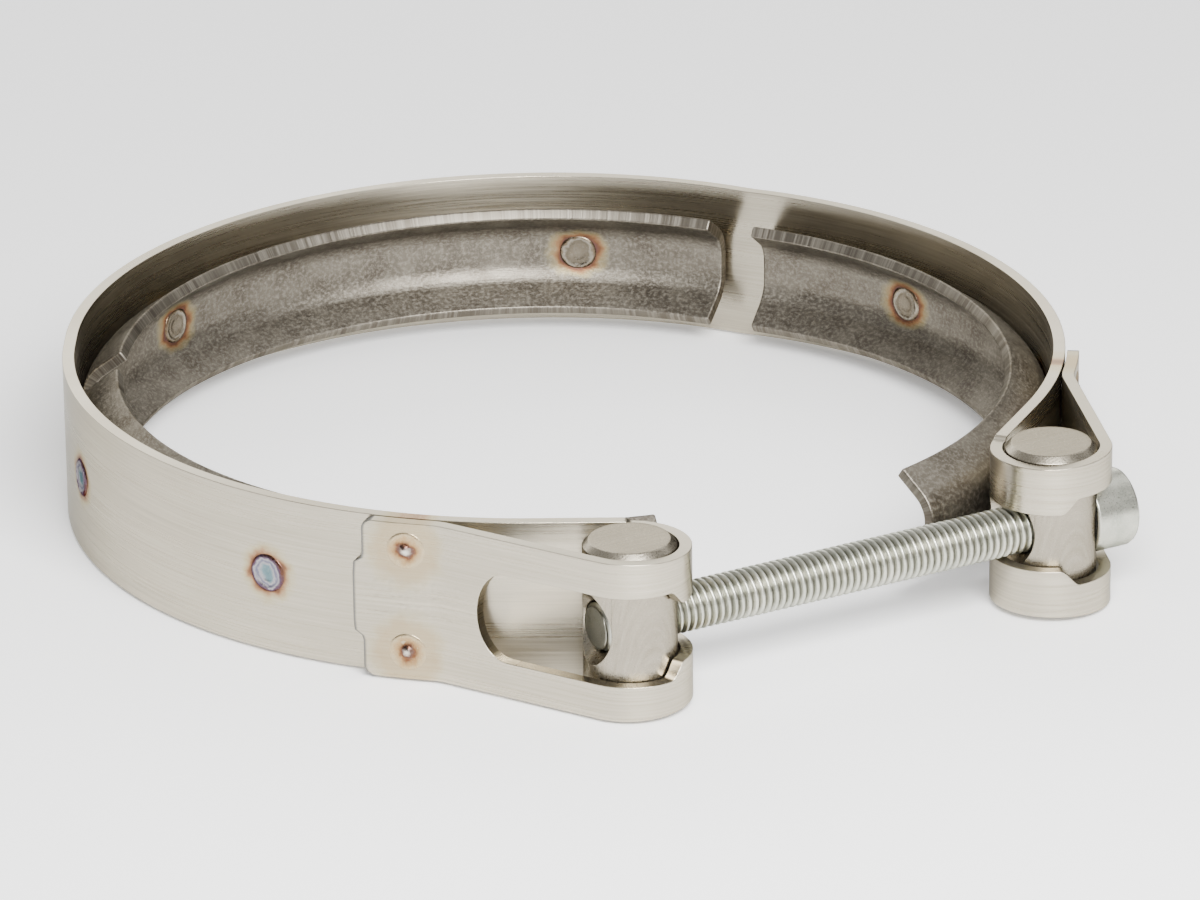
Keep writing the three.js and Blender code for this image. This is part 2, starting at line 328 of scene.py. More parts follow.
def arc_stretch(centre: Vector, radius: float, start: float, end: float) -> Stretch:
    """Make an arc between two directions in degrees from +X."""

    def at(share: float) -> Vector:
        turn = math.radians(start + (end - start) * share)
        return centre + Vector((radius * math.cos(turn), radius * math.sin(turn), 0.0))

    return Stretch(radius * math.radians(abs(end - start)), at)


def straight_stretch(start: Vector, end: Vector) -> Stretch:
    """Make a straight stretch between two points."""
    return Stretch((end - start).length, lambda share: start.lerp(end, share))


def bend_stretch(start: Vector, corner: Vector, end: Vector) -> Stretch:
    """Make a soft bend from one point to another, pulled towards a corner."""
    length = (start - corner).length + (corner - end).length
    return Stretch(length, lambda t: start.lerp(corner, t).lerp(corner.lerp(end, t), t))


@dataclass
class StrapLine:
    """The middle line of half the strap, from the back of the ring round the loop to the free end.

    It is drawn as the right arm of the ring closed true.
    """

    ring: Ring
    barrel_radius: float = 7.5
    barrel_play: float = 0.35
    tail_bend_angle: float = 140.5
    tail_end_angle: float = 131.6
    bend_reach: float = 1.6
    stretches: list[Stretch] = field(init=False)

    def __post_init__(self) -> None:
        """Work out the loop from the ring, the barrel and the tail."""
        ring = self.ring
        half = ring.strap_thickness / 2
        on_ring = ring.mid_radius
        self.tail_radius = ring.band_radius + ring.sheet_gap + half
        self.loop_radius = self.barrel_radius + self.barrel_play + half
        barrel = ring.point(ring.barrel_angle, ring.barrel_orbit)
        bend = ring.point(self.tail_bend_angle, self.tail_radius)
        leave = math.degrees(math.acos((on_ring + self.loop_radius) / ring.barrel_orbit))
        loop_start = 270.0 - ring.barrel_angle + leave
        to_bend = bend - barrel
        leg = math.degrees(math.atan2(to_bend.y, to_bend.x)) % 360
        leg_turn = math.degrees(math.acos(self.loop_radius / to_bend.length))
        loop_end = leg - leg_turn + 360.0
        self.crest = leg + 180.0
        self.loop_start = loop_start
        leave_angle = ring.barrel_angle - leave
        loop = arc_stretch(barrel, self.loop_radius, loop_start, loop_end)
        foot = ring.point(leave_angle, on_ring)
        before_bend = bend + (loop.at(1.0) - bend).normalized() * self.bend_reach
        past = math.degrees(self.bend_reach / self.tail_radius)
        after = self.tail_bend_angle - past
        self.stretches = [
            arc_stretch(Vector(), on_ring, 90.0, 90.0 - leave_angle),
            straight_stretch(foot, loop.at(0.0)),
            loop,
            straight_stretch(loop.at(1.0), before_bend),
            bend_stretch(before_bend, bend, ring.point(after, self.tail_radius)),
            arc_stretch(Vector(), self.tail_radius, 90.0 - after, 90.0 - self.tail_end_angle),
        ]

    @property
    def starts(self) -> list[float]:
        """Distance along the line at which each stretch starts, and last the whole length."""
        marks = [0.0]
        for stretch in self.stretches:
            marks.append(marks[-1] + stretch.length)
        return marks

    def on_loop(self, direction: float) -> float:
        """Give the distance along the line of a direction from the barrel, in degrees from +X."""
        return self.starts[2] + math.radians(direction - self.loop_start) * self.loop_radius

    def on_tail(self, angle: float) -> float:
        """Give the distance along the line of an angle round the tail."""
        return self.starts[-1] - math.radians(angle - self.tail_end_angle) * self.tail_radius

    def point(self, along: float) -> Vector:
        """Give the point at a distance along the line; beyond an end the line runs on as it was."""
        marks = self.starts
        for stretch, start in zip(self.stretches, marks):
            if along <= start + stretch.length or stretch is self.stretches[-1]:
                return stretch.at((along - start) / stretch.length)
        raise ValueError(along)


def smooth(low: float, high: float, value: float) -> float:
    """Rise smoothly from 0 at one value to 1 at another."""
    share = min(1.0, max(0.0, (value - low) / (high - low)))
    return share * share * (3 - 2 * share)


def spread(start: float, end: float, step: float) -> list[float]:
    """Space values evenly from start up to but not including end, at most a step apart."""
    count = max(1, math.ceil((end - start) / step))
    return [start + (end - start) * i / count for i in range(count)]


# ---------------------------------------------------------------- strap


@dataclass
class Strap:
    """The strap: one strip folded back into a keyhole-slotted loop at each end. Sizes in millimetres."""

    ring: Ring
    window_half: float = 7.5
    window_round: float = 5.4
    window_to_bend: float = 7.5
    slot_half: float = 4.9
    slot_centre: float = 66.0
    narrow_from: float = 35.0
    narrow_to: float = 15.0
    relief: float = 0.55
    relief_start: tuple[float, float] = (-0.6, 0.2)
    relief_fade: tuple[float, float] = (14.0, 30.0)
    tongue: float = 1.6
    tongue_half: float = 6.3
    tongue_blend: float = 0.7
    shaped_end: float = 6.0
    corner: float = 1.6
    seam_overrun: float = 4.0
    flex_half: float = 4.0
    rows: tuple[float, ...] = (0, 0.04, 0.08, 0.12, 0.21, 0.32, 0.44, 0.5, 0.56, 0.7, 0.85, 1)
    line: StrapLine = field(init=False)

    def __post_init__(self) -> None:
        """Lay out the middle line and the slot along it."""
        line = self.line = StrapLine(self.ring)
        self.slot_middle = line.on_loop(line.crest - self.slot_centre)
        self.narrow = tuple(line.on_loop(line.crest + turn) for turn in (self.narrow_to, self.narrow_from))
        self.window_end = line.starts[4] + line.bend_reach - self.window_to_bend
        self.window_middle = self.window_end - self.window_round

    def opening_half(self, along: float) -> float:
        """Give half the height of the slot at a distance along the strap, 0 where the strap is whole."""
        if along <= self.slot_middle:
            across = (self.slot_middle - along) / self.slot_half
            return self.slot_half * math.sqrt(max(0.0, 1 - across * across))
        if along >= self.window_middle:
            across = (along - self.window_middle) / self.window_round
            return self.window_half * math.sqrt(max(0.0, 1 - across * across))
        widening = smooth(self.narrow[0], self.narrow[1], along)
        return self.slot_half + (self.window_half - self.slot_half) * widening

    def edge_inset(self, along: float) -> float:
        """Give how far the strap's edges draw in, just where the inner leg becomes the loop."""
        start = self.line.starts[2]
        drop = smooth(start + self.relief_start[0], start + self.relief_start[1], along)
        back = smooth(start + self.relief_fade[0], start + self.relief_fade[1], along)
        return self.relief * drop * (1 - back)

    def end_shift(self, along: float, off_middle: float) -> float:
        """Give how far a point near the free end moves along, for its tongue and its round corners."""
        near = smooth(self.line.starts[-1] - self.shaped_end, self.line.starts[-1], along)
        half_width = self.ring.strap_width / 2
        low, high = self.tongue_half - self.tongue_blend, self.tongue_half + self.tongue_blend
        tongue = self.tongue * (1 - smooth(low, high, off_middle))
        into = max(0.0, off_middle - (half_width - self.corner))
        cut = self.corner - math.sqrt(max(0.0, self.corner**2 - into**2))
        return near * (tongue - cut)

    def stations(self) -> list[float]:
        """List the distances along the strap at which its mesh has a row of vertices.

        The rows stand closer together where the strap bends sharply and where the slot narrows.
        """
        marks = self.line.starts
        into_loop = (marks[2] - 1.0, marks[2] + 0.6)
        near_end = marks[6] - 2.0
        round_steps = [i / 9 * math.pi / 2 for i in range(9)]
        slot_end = [self.slot_middle - self.slot_half * math.cos(t) for t in round_steps]
        window_end = [self.window_middle + self.window_round * math.sin(t) for t in round_steps]
        return [
            *spread(-self.seam_overrun, marks[1], 1.6),
            *spread(marks[1], into_loop[0], 1.6),
            *spread(into_loop[0], into_loop[1], 0.4),
            *spread(into_loop[1], slot_end[0], 0.7),
            *slot_end,
            *spread(self.slot_middle, self.narrow[0], 0.8),
            *spread(self.narrow[0], self.narrow[1], 0.3),
            *spread(self.narrow[1], self.window_middle, 1.0),
            *window_end,
            *spread(self.window_end, marks[4], 1.2),
            *spread(marks[4], marks[5], 0.4),
            *spread(marks[5], near_end, 1.2),
            *spread(near_end, marks[6], 0.5),
            marks[6],
        ]

    def blank(self) -> tuple[bmesh.types.BMesh, dict]:
        """Make the flat blank, with its slot, as distance along the strap and height.

        Returns:
            The blank, and the flat place of each of its vertices.
        """
        stations = self.stations()
        rows = len(self.rows)
        bm = bmesh.new()
        bmesh.ops.create_grid(bm, x_segments=len(stations) - 1, y_segments=2 * rows - 1, size=1.0)
        middle_faces = []
        half_width = self.ring.strap_width / 2
        for face in bm.faces:
            if abs(face.calc_center_median().y) < 0.5 / (2 * rows - 1):
                middle_faces.append(face)
        bmesh.ops.delete(bm, geom=middle_faces, context="FACES_ONLY")
        for vert in bm.verts:
            along = stations[round((vert.co.x + 1) / 2 * (len(stations) - 1))]
            row = round((vert.co.y + 1) / 2 * (2 * rows - 1))
            upper = row >= rows
            share = self.rows[2 * rows - 1 - row if upper else row]
            edge = half_width - self.edge_inset(along)
            off_middle = edge + (self.opening_half(along) - edge) * share
            shift = self.end_shift(along, off_middle)
            vert.co = Vector((along + shift, off_middle if upper else -off_middle, 0.0))
        bmesh.ops.remove_doubles(bm, verts=bm.verts, dist=1e-4)
        return bm, {vert: vert.co.copy() for vert in bm.verts}

    def bent_point(self, side: Side, along: float, height: float) -> Vector:
        """Give the place in the clamp's frame of a point of the flat blank."""
        hinge_along = math.radians(self.ring.hinge_angle) * self.ring.mid_radius
        share = smooth(hinge_along - self.flex_half, hinge_along + self.flex_half, along)
        return self.ring.flexed(side, share) @ self.line.point(along) + Vector(
            (0.0, 0.0, self.ring.mid_height + height)
        )

    def build(self, side: Side) -> bpy.types.Object:
        """Bend the blank into half a strap, give it its thickness and close it at the back.

        Args:
            side: The half to make.

        Returns:
            The finished strap half, across its flex joint.
        """
        name = f"strap_{side.name.lower()}_strip"
        bm, flat = self.blank()
        uv_layer = bm.loops.layers.uv.new("strip")
        end_layer = bm.loops.layers.uv.new("free_end")
        for face in bm.faces:
            for loop in face.loops:
                place = flat[loop.vert]
                loop[uv_layer].uv = (side.value * place.x * UV_PER_MM, place.y * UV_PER_MM)
                shift = self.end_shift(place.x, abs(place.y))
                to_end = self.line.starts[-1] + shift - place.x
                loop[end_layer].uv = (to_end * UV_PER_MM, 0.0)
        for vert, place in flat.items():
            vert.co = self.bent_point(side, place.x, place.y)
        bmesh.ops.recalc_face_normals(bm, faces=bm.faces)
        strip = to_object(bm, name)
        wall = strip.modifiers.new("sheet", "SOLIDIFY")
        wall.thickness = self.ring.strap_thickness * MM
        wall.offset = 0.0
        wall.use_even_offset = True
        add_bevel(strip, 0.34, segments=3, angle=50.0)
        freeze(strip)
        self.close_seam(strip, side)
        even_shading(strip)
        return strip

    def close_seam(self, strip: bpy.types.Object, side: Side) -> None:
        """Cut a strap half square at the back of the ring and close the cut."""
        placement = self.ring.placement
        at = placement @ Vector((0.0, self.ring.band_radius, 0.0)) * MM
        outward = placement.to_3x3() @ Vector((side.value, 0.0, 0.0))
        bm = bmesh.new()
        bm.from_mesh(strip.data)
        bmesh.ops.bisect_plane(
            bm,
            geom=[*bm.verts, *bm.edges, *bm.faces],
            dist=1e-7,
            plane_co=at,
            plane_no=outward,
            clear_inner=True,
        )
        open_edges = [edge for edge in bm.edges if edge.is_boundary]
        bmesh.ops.holes_fill(bm, edges=open_edges, sides=0)
        for edge in open_edges:
            edge.smooth = False
        bm.to_mesh(strip.data)
        bm.free()

    def flex_span(self, side: Side) -> tuple[Vector, Vector]:
        """Give the points between which the strip bends, back first, in metres."""
        hinge = self.ring.placement @ self.ring.mirror(side) @ self.ring.hinge
        turn = math.radians(90.0 - self.ring.hinge_angle)
        tangent = Vector((math.sin(turn), -math.cos(turn), 0.0))
        along = (self.ring.placement @ self.ring.mirror(side)).to_3x3() @ tangent
        reach = along * self.flex_half
        return (hinge - reach) * MM, (hinge + reach) * MM


# ---------------------------------------------------------------- V-profile segments


@dataclass
class Segment:
    """A V-profile retainer segment: a flat web with a flange bent in along each edge. Millimetres."""

    ring: Ring
    thickness: float = 2.0
    end_angle: float = 2.85
    mouth_angles: tuple[float, float] = (167.2, 172.6)
    web_half: float = 4.6
    flange_depth: float = 6.3
    flange_spread: float = 4.5
    bend: float = 2.6
    steps_per_degree: float = 0.9
    last_angle: float = 190.0
    flange_unrolled: float = 0.7

    @property
    def web_radius(self) -> float:
        """Radius of the middle of the web's sheet."""
        ring = self.ring
        return ring.band_radius - ring.strap_thickness - ring.sheet_gap - self.thickness / 2

    @property
    def inner_face(self) -> float:
        """Radius of the web's inner face."""
        return self.web_radius - self.thickness / 2

    def span(self, side: Side | None) -> tuple[float, float]:
        """Give the angles at which a segment starts and ends; None is the back segment."""
        if side is None:
            reach = self.ring.hinge_angle - self.end_angle
            return -reach, reach
        mouth = self.mouth_angles[0 if side is Side.LEFT else 1]
        return self.ring.hinge_angle + self.end_angle, mouth

    def section(self) -> list[Vector]:
        """Draw the middle line of the section at angle 0, from the lower tip to the upper."""
        tip = (self.web_radius - self.flange_depth, self.web_half + self.flange_spread)
        corner = (self.web_radius, self.web_half)
        half = [tip, corner]
        points = [(r, -z) for r, z in half] + [(r, z) for r, z in reversed(half)]
        return [Vector((0.0, r, z)) for r, z in points]

    def build(self, side: Side | None) -> bpy.types.Object:
        """Roll the section round its arc, bend its flanges softly and give it its thickness.

        Args:
            side: The arm that it sits in, or None for the back.

        Returns:
            The finished segment.
        """
        label = label_of(side)
        start, end = self.span(side)
        bm = bmesh.new()
        geom = line_mesh(bm, self.section())
        first = Matrix.Rotation(math.radians(-start), 4, "Z")
        bmesh.ops.transform(bm, matrix=first, verts=bm.verts)
        steps = round((end - start) * self.steps_per_degree)
        bmesh.ops.spin(
            bm, geom=geom, cent=(0, 0, 0), axis=(0, 0, -1), angle=math.radians(end - start), steps=steps
        )
        corners = [edge for edge in bm.edges if self.is_corner(edge)]
        bmesh.ops.bevel(
            bm,
            geom=corners,
            offset=self.bend,
            offset_type="OFFSET",
            affect="EDGES",
            segments=6,
            profile=0.5,
            material=-1,
        )
        self.map_surface(bm, side)
        lift = Matrix.Translation((0.0, 0.0, self.ring.mid_height))
        bmesh.ops.transform(bm, matrix=lift @ self.ring.flexed(side), verts=bm.verts)
        bmesh.ops.recalc_face_normals(bm, faces=bm.faces)
        made = to_object(bm, f"retainer_{label}")
        wall = made.modifiers.new("sheet", "SOLIDIFY")
        wall.thickness = self.thickness * MM
        wall.offset = 0.0
        wall.use_even_offset = True
        add_bevel(made, 0.35, segments=3, angle=50.0)
        even_shading(made)
        return made

    def is_corner(self, edge: bmesh.types.BMEdge) -> bool:
        """Tell whether an edge runs along a corner between web and flange."""
        first, second = (vert.co for vert in edge.verts)
        radius = math.hypot(first.x, first.y)
        on_web = abs(radius - self.web_radius) < 1e-3 and abs(abs(first.z) - self.web_half) < 1e-3
        return on_web and abs(first.z - second.z) < 1e-3

    def map_surface(self, bm: bmesh.types.BMesh, side: Side | None) -> None:
        """Give the segment a UV map that runs along its arc and across its section."""
        uv_layer = bm.loops.layers.uv.new("roll")
        mirror = -1.0 if side is Side.LEFT else 1.0
        for face in bm.faces:
            for loop in face.loops:
                place = loop.vert.co
                radius = math.hypot(place.x, place.y)
                angle = math.atan2(place.x, place.y) % math.tau
                if angle > math.radians(self.last_angle):
                    angle -= math.tau
                unrolled = self.flange_unrolled * (self.web_radius - radius)
                across = place.z + math.copysign(unrolled, place.z)
                along = mirror * angle * self.web_radius
                loop[uv_layer].uv = (along * UV_PER_MM, across * UV_PER_MM)


# ---------------------------------------------------------------- spot welds


class WeldFace(Enum):
    """Where a weld mark shows: outside on the strap, outside on a tail, or inside on a segment."""

    STRAP = "strap"
    TAIL = "tail"
    SEGMENT = "segment"


@dataclass
class SpotWeld:
    """The visible marks of a spot weld, pressed and slightly raised. Radius and height in millimetres."""

    ring: Ring
    segment: Segment
    pressed: tuple[tuple[float, float], ...] = (
        (0.0, 0.04),
        (0.8, 0.05),
        (1.35, 0.09),
        (1.6, 0.18),
        (1.85, 0.12),
        (2.2, 0.12),
        (2.45, 0.24),
        (2.75, 0.26),
        (3.05, 0.12),
        (3.3, -0.08),
    )
    beaded: tuple[tuple[float, float], ...] = (
        (0.0, 0.60),
        (0.35, 0.57),
        (0.7, 0.40),
        (0.95, 0.18),
        (1.25, 0.07),
        (1.8, 0.04),
        (2.3, 0.07),
        (2.65, 0.12),
        (2.95, 0.07),
        (3.25, -0.08),
    )
    sunk: float = 0.5
    rounds: int = 40
    bead_roughness: float = 0.14
    press_roughness: float = 0.05
    bumps_per_mm: float = 0.9
    bump_fade: tuple[float, float] = (3.3, 1.5)

    def place(self, node: str, side: Side | None) -> tuple[float, float]:
        """Find a weld from its node in the frame.

        Args:
            node: The weld's node.
            side: The arm that it is on, or None for the back.

        Returns:
            Its angle round the closed ring in degrees, and its height in millimetres.
        """
        low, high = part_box(node)
        centre = (low + high) / 2 / MM
        local = self.ring.flexed(side).inverted() @ centre
        return math.degrees(math.atan2(local.x, local.y)), centre.z

    def surface(self, face: WeldFace) -> tuple[float, float]:
        """Give the radius of the face that a mark lies on, and the way that it stands: out or in."""
        ring = self.ring
        if face is WeldFace.SEGMENT:
            return self.segment.inner_face, -1.0
        if face is WeldFace.TAIL:
            return ring.band_radius + ring.sheet_gap + ring.strap_thickness, 1.0
        return ring.band_radius, 1.0

    def mark(self, face: WeldFace, angle: float, height: float, side: Side | None) -> bmesh.types.BMesh:
        """Make one mark on a curved face.

        Args:
            face: The face that it lies on.
            angle: Its angle round the closed ring in degrees.
            height: Its height in millimetres.
            side: The arm that it is on, or None for the back.

        Returns:
            The mark in the clamp's frame.
        """
        top = self.beaded if face is WeldFace.TAIL else self.pressed
        profile = [*top, (top[-1][0], -self.sunk), (0.0, -self.sunk)]
        bm = lathe(list(profile), self.rounds)
        uv_layer = bm.loops.layers.uv.new("mark")
        for loop in (loop for patch in bm.faces for loop in patch.loops):
            loop[uv_layer].uv = (loop.vert.co.x * UV_PER_MM, loop.vert.co.y * UV_PER_MM)
        radius, way = self.surface(face)
        rough = self.bead_roughness if face is WeldFace.TAIL else self.press_roughness
        frame = self.ring.flexed(side)
        for vert in bm.verts:
            reach = math.hypot(vert.co.x, vert.co.y)
            seed = Vector((vert.co.x + angle, vert.co.y + height, 0.0)) * self.bumps_per_mm
            if vert.co.z > -self.sunk + 1e-3:
                vert.co.z += rough * noise.noise(seed) * smooth(*self.bump_fade, reach)
            along = angle + math.degrees(vert.co.x / radius)
            place = self.ring.point(along, radius + way * vert.co.z)
            vert.co = frame @ place + Vector((0.0, 0.0, height + vert.co.y))
        bmesh.ops.recalc_face_normals(bm, faces=bm.faces)
        return bm

    def build(self, node: str, faces: tuple[WeldFace, ...], side: Side | None) -> bpy.types.Object:
        """Make all the marks of one weld as one piece.

        Args:
            node: The weld's node in the frame.
            faces: The faces that show a mark.
            side: The arm that it is on, or None for the back.

        Returns:
            The finished piece.
        """
        angle, height = self.place(node, side)
        whole = bmesh.new()
        for number, face in enumerate(faces):
            part = self.mark(face, angle, height, side)
            for patch in part.faces:
                patch.material_index = number
            scratch = bpy.data.meshes.new("mark")
            part.to_mesh(scratch)
            part.free()
            whole.from_mesh(scratch)
            bpy.data.meshes.remove(scratch)
        return to_object(whole, node.replace("weld", "spot_weld"))


# ---------------------------------------------------------------- barrels


@dataclass
class Barrel:
    """A turned cross barrel with a hole for the screw through its middle. Millimetres."""

    ring: Ring
    radius: float = 7.5
    length: float = 27.7
    chamfer: float = 1.0
    hole_radius: float = 4.25
    mouth: float = 0.35
    seat: float = 5.0
    seat_radius: float = 6.85
    end_rings: int = 9
    end_mark: float = 0.012
    mouth_depth: float = 0.2
    cutter_spare: float = 2.0

    def blank(self, name: str, axis: Vector) -> bpy.types.Object:
        """Turn the barrel, with fine lathe marks in its end faces."""
        face = self.radius - self.chamfer
        rings = [face * (1 - i / self.end_rings) for i in range(self.end_rings)]
        end = [(0.0, 0.0)]
        for i, radius in enumerate(reversed(rings)):
            end.append((radius, self.end_mark if i % 2 and radius < face else 0.0))
        side = [(self.radius, self.chamfer), (self.radius, self.length - self.chamfer)]
        upper = [(r, self.length - z) for r, z in reversed(end)]
        bm = lathe([*end, *side, *upper], 96)
        bmesh.ops.translate(bm, vec=(axis.x, axis.y, 0.0), verts=bm.verts)
        return to_object(bm, name)

    def bore(self, axis: Vector) -> bpy.types.Object:
        """Make the cutter for the cross hole, flared at both mouths."""
        reach = self.radius + self.cutter_spare / 2
        flare = self.hole_radius + self.mouth
        wide = flare + self.cutter_spare
        straight = math.sqrt(self.radius**2 - flare**2) - self.mouth_depth
        flared = straight + self.mouth + self.cutter_spare
        half = [(0.0, reach), (wide, reach), (wide, flared), (self.hole_radius, straight)]
        profile = [*half, *((r, -x) for r, x in reversed(half))]
        bm = lathe(profile, 64)
        along_x(bm, axis.x, axis.y, self.ring.mid_height)
        return to_object(bm, "bore")

    def spot_face(self, axis: Vector) -> bpy.types.Object:
        """Make the cutter for the flat seat under the screw head."""
        past = self.radius + self.cutter_spare
        profile = [(0.0, self.seat), (self.seat_radius, self.seat), (self.seat_radius, past), (0.0, past)]
        bm = lathe(profile, 72)
        along_x(bm, axis.x, axis.y, self.ring.mid_height)
        return to_object(bm, "spot_face")

    def build(self, name: str, joint: str, seated: bool) -> bpy.types.Object:
        """Make a barrel.

        Args:
            name: The piece's name.
            joint: The joint whose point lies on the barrel's axis.
            seated: Whether it has the seat for the screw head.

        Returns:
            The finished barrel.
        """
        axis = joint_place(self.ring.frame, joint)
        made = self.blank(name, axis)
        cut_out(made, self.bore(axis))
        if seated:
            cut_out(made, self.spot_face(axis))
        add_bevel(made, 0.12, segments=2, angle=30.0)
        even_shading(made)
        return made


# ---------------------------------------------------------------- screw


@dataclass
class Screw:
    """An M8 socket head screw, threaded over its whole length. Millimetres.

    The corners of its head go by inset and by height, those of a tooth by share of the pitch and of
    the thread's depth.
    """

    ring: Ring
    length: float = 90.0
    pitch: float = 1.25
    crest: float = 4.0
    root: float = 3.3
    tip_radius: float = 3.3
    head_radius: float = 6.5
    head_height: float = 8.0
    socket_flats: float = 6.0
    socket_depth: float = 4.8
    bearing: float = 5.3
    turn_steps: int = 36
    spare_turns: float = 1.6
    into_head: float = 0.4
    head_foot: tuple[tuple[float, float], ...] = ((0.4, 0.0), (0.0, 0.3))
    head_crown: tuple[tuple[float, float], ...] = ((0.0, 0.7), (0.2, 0.22), (0.75, 0.0))
    tooth_shape: tuple[tuple[float, float], ...] = (
        (0.0, 0.72),
        (0.07, 0.9),
        (0.17, 1.0),
        (0.29, 1.0),
        (0.39, 0.9),
        (0.46, 0.72),
        (0.66, 0.08),
        (0.73, 0.0),
        (0.8, 0.08),
    )

    @property
    def foot(self) -> Vector:
        """The middle of the head's bearing face."""
        return joint_place(self.ring.frame, "screw_turn") + Vector((self.bearing, 0.0, 0.0))

    def tooth(self) -> list[tuple[float, float]]:
        """Give one pitch of the thread's section as shares of the pitch and radii."""
        depth = self.crest - self.root
        points = [(share, self.root + depth * rise) for share, rise in self.tooth_shape]
        return [*points, (1.0, points[0][1])]

    def thread(self) -> bpy.types.Object:
        """Wind the thread as a right-hand helix, cut it square at both ends and point its tip."""
        foot = self.foot
        start = foot.x - self.length - self.spare_turns * self.pitch
        points = [Vector((start + share * self.pitch, foot.y, foot.z + r)) for share, r in self.tooth()]
        bm = bmesh.new()
        geom = line_mesh(bm, points)
        bmesh.ops.spin(
            bm,
            geom=geom,
            cent=(0, foot.y, foot.z),
            axis=(1, 0, 0),
            dvec=(self.pitch / self.turn_steps, 0, 0),
            angle=math.tau,
            steps=self.turn_steps,
            use_merge=False,
        )
        made = to_object(bm, "screw_thread")
        turns = made.modifiers.new("turns", "ARRAY")
        turns.count = math.ceil(self.length / self.pitch) + math.ceil(2 * self.spare_turns)
        turns.use_relative_offset = False
        turns.use_constant_offset = True
        turns.constant_offset_displace = (self.pitch * MM, 0, 0)
        turns.use_merge_vertices = True
        turns.merge_threshold = 1e-6
        freeze(made)
        self.trim(made)
        even_shading(made)
        return made

    def trim(self, thread: bpy.types.Object) -> None:
        """Cut the helix square at both ends, close it and point its tip."""
        foot = self.foot
        bm = bmesh.new()
        bm.from_mesh(thread.data)
        bmesh.ops.scale(bm, vec=(1 / MM, 1 / MM, 1 / MM), verts=bm.verts)
        for plane_x, way in ((foot.x - self.length, -1.0), (foot.x + self.into_head, 1.0)):
            bmesh.ops.bisect_plane(
                bm,
                geom=[*bm.verts, *bm.edges, *bm.faces],
                dist=1e-5,
                plane_co=(plane_x, 0, 0),
                plane_no=(way, 0, 0),
                clear_outer=True,
            )
        bmesh.ops.holes_fill(bm, edges=[e for e in bm.edges if e.is_boundary], sides=0)
        tip = foot.x - self.length
        for vert in bm.verts:
            across = Vector((0.0, vert.co.y - foot.y, vert.co.z - foot.z))
            limit = self.tip_radius + (vert.co.x - tip)
            if across.length > limit:
                across *= limit / across.length
                vert.co = Vector((vert.co.x, foot.y + across.y, foot.z + across.z))
        bmesh.ops.recalc_face_normals(bm, faces=bm.faces)
        bmesh.ops.scale(bm, vec=(MM, MM, MM), verts=bm.verts)
        bm.to_mesh(thread.data)
        bm.free()

    def head(self) -> bpy.types.Object:
        """Turn the head and sink its hexagon socket."""
        foot = self.foot
        radius, height = self.head_radius, self.head_height
        lower = [(radius - inset, rise) for inset, rise in self.head_foot]
        upper = [(radius - inset, height - drop) for inset, drop in self.head_crown]
        bm = lathe([(0.0, 0.0), *lower, *upper, (0.0, height)], 72)
        along_x(bm, foot.x, foot.y, foot.z)
        made = to_object(bm, "screw_head")
        cutter = bmesh.new()
        across_corners = self.socket_flats / 2 / math.cos(math.pi / 6)
        bmesh.ops.create_cone(
            cutter,
            cap_ends=True,
            segments=6,
            radius1=across_corners,
            radius2=across_corners,
            depth=2 * self.socket_depth,
        )
        bmesh.ops.rotate(cutter, matrix=Matrix.Rotation(math.pi / 2, 4, "Y"), verts=cutter.verts)
        bmesh.ops.translate(cutter, vec=foot + Vector((height, 0.0, 0.0)), verts=cutter.verts)
        cut_out(made, to_object(cutter, "hexagon"))
        add_bevel(made, 0.15, segments=2, angle=30.0)
        even_shading(made)
        return made


# ---------------------------------------------------------------- shader node groups


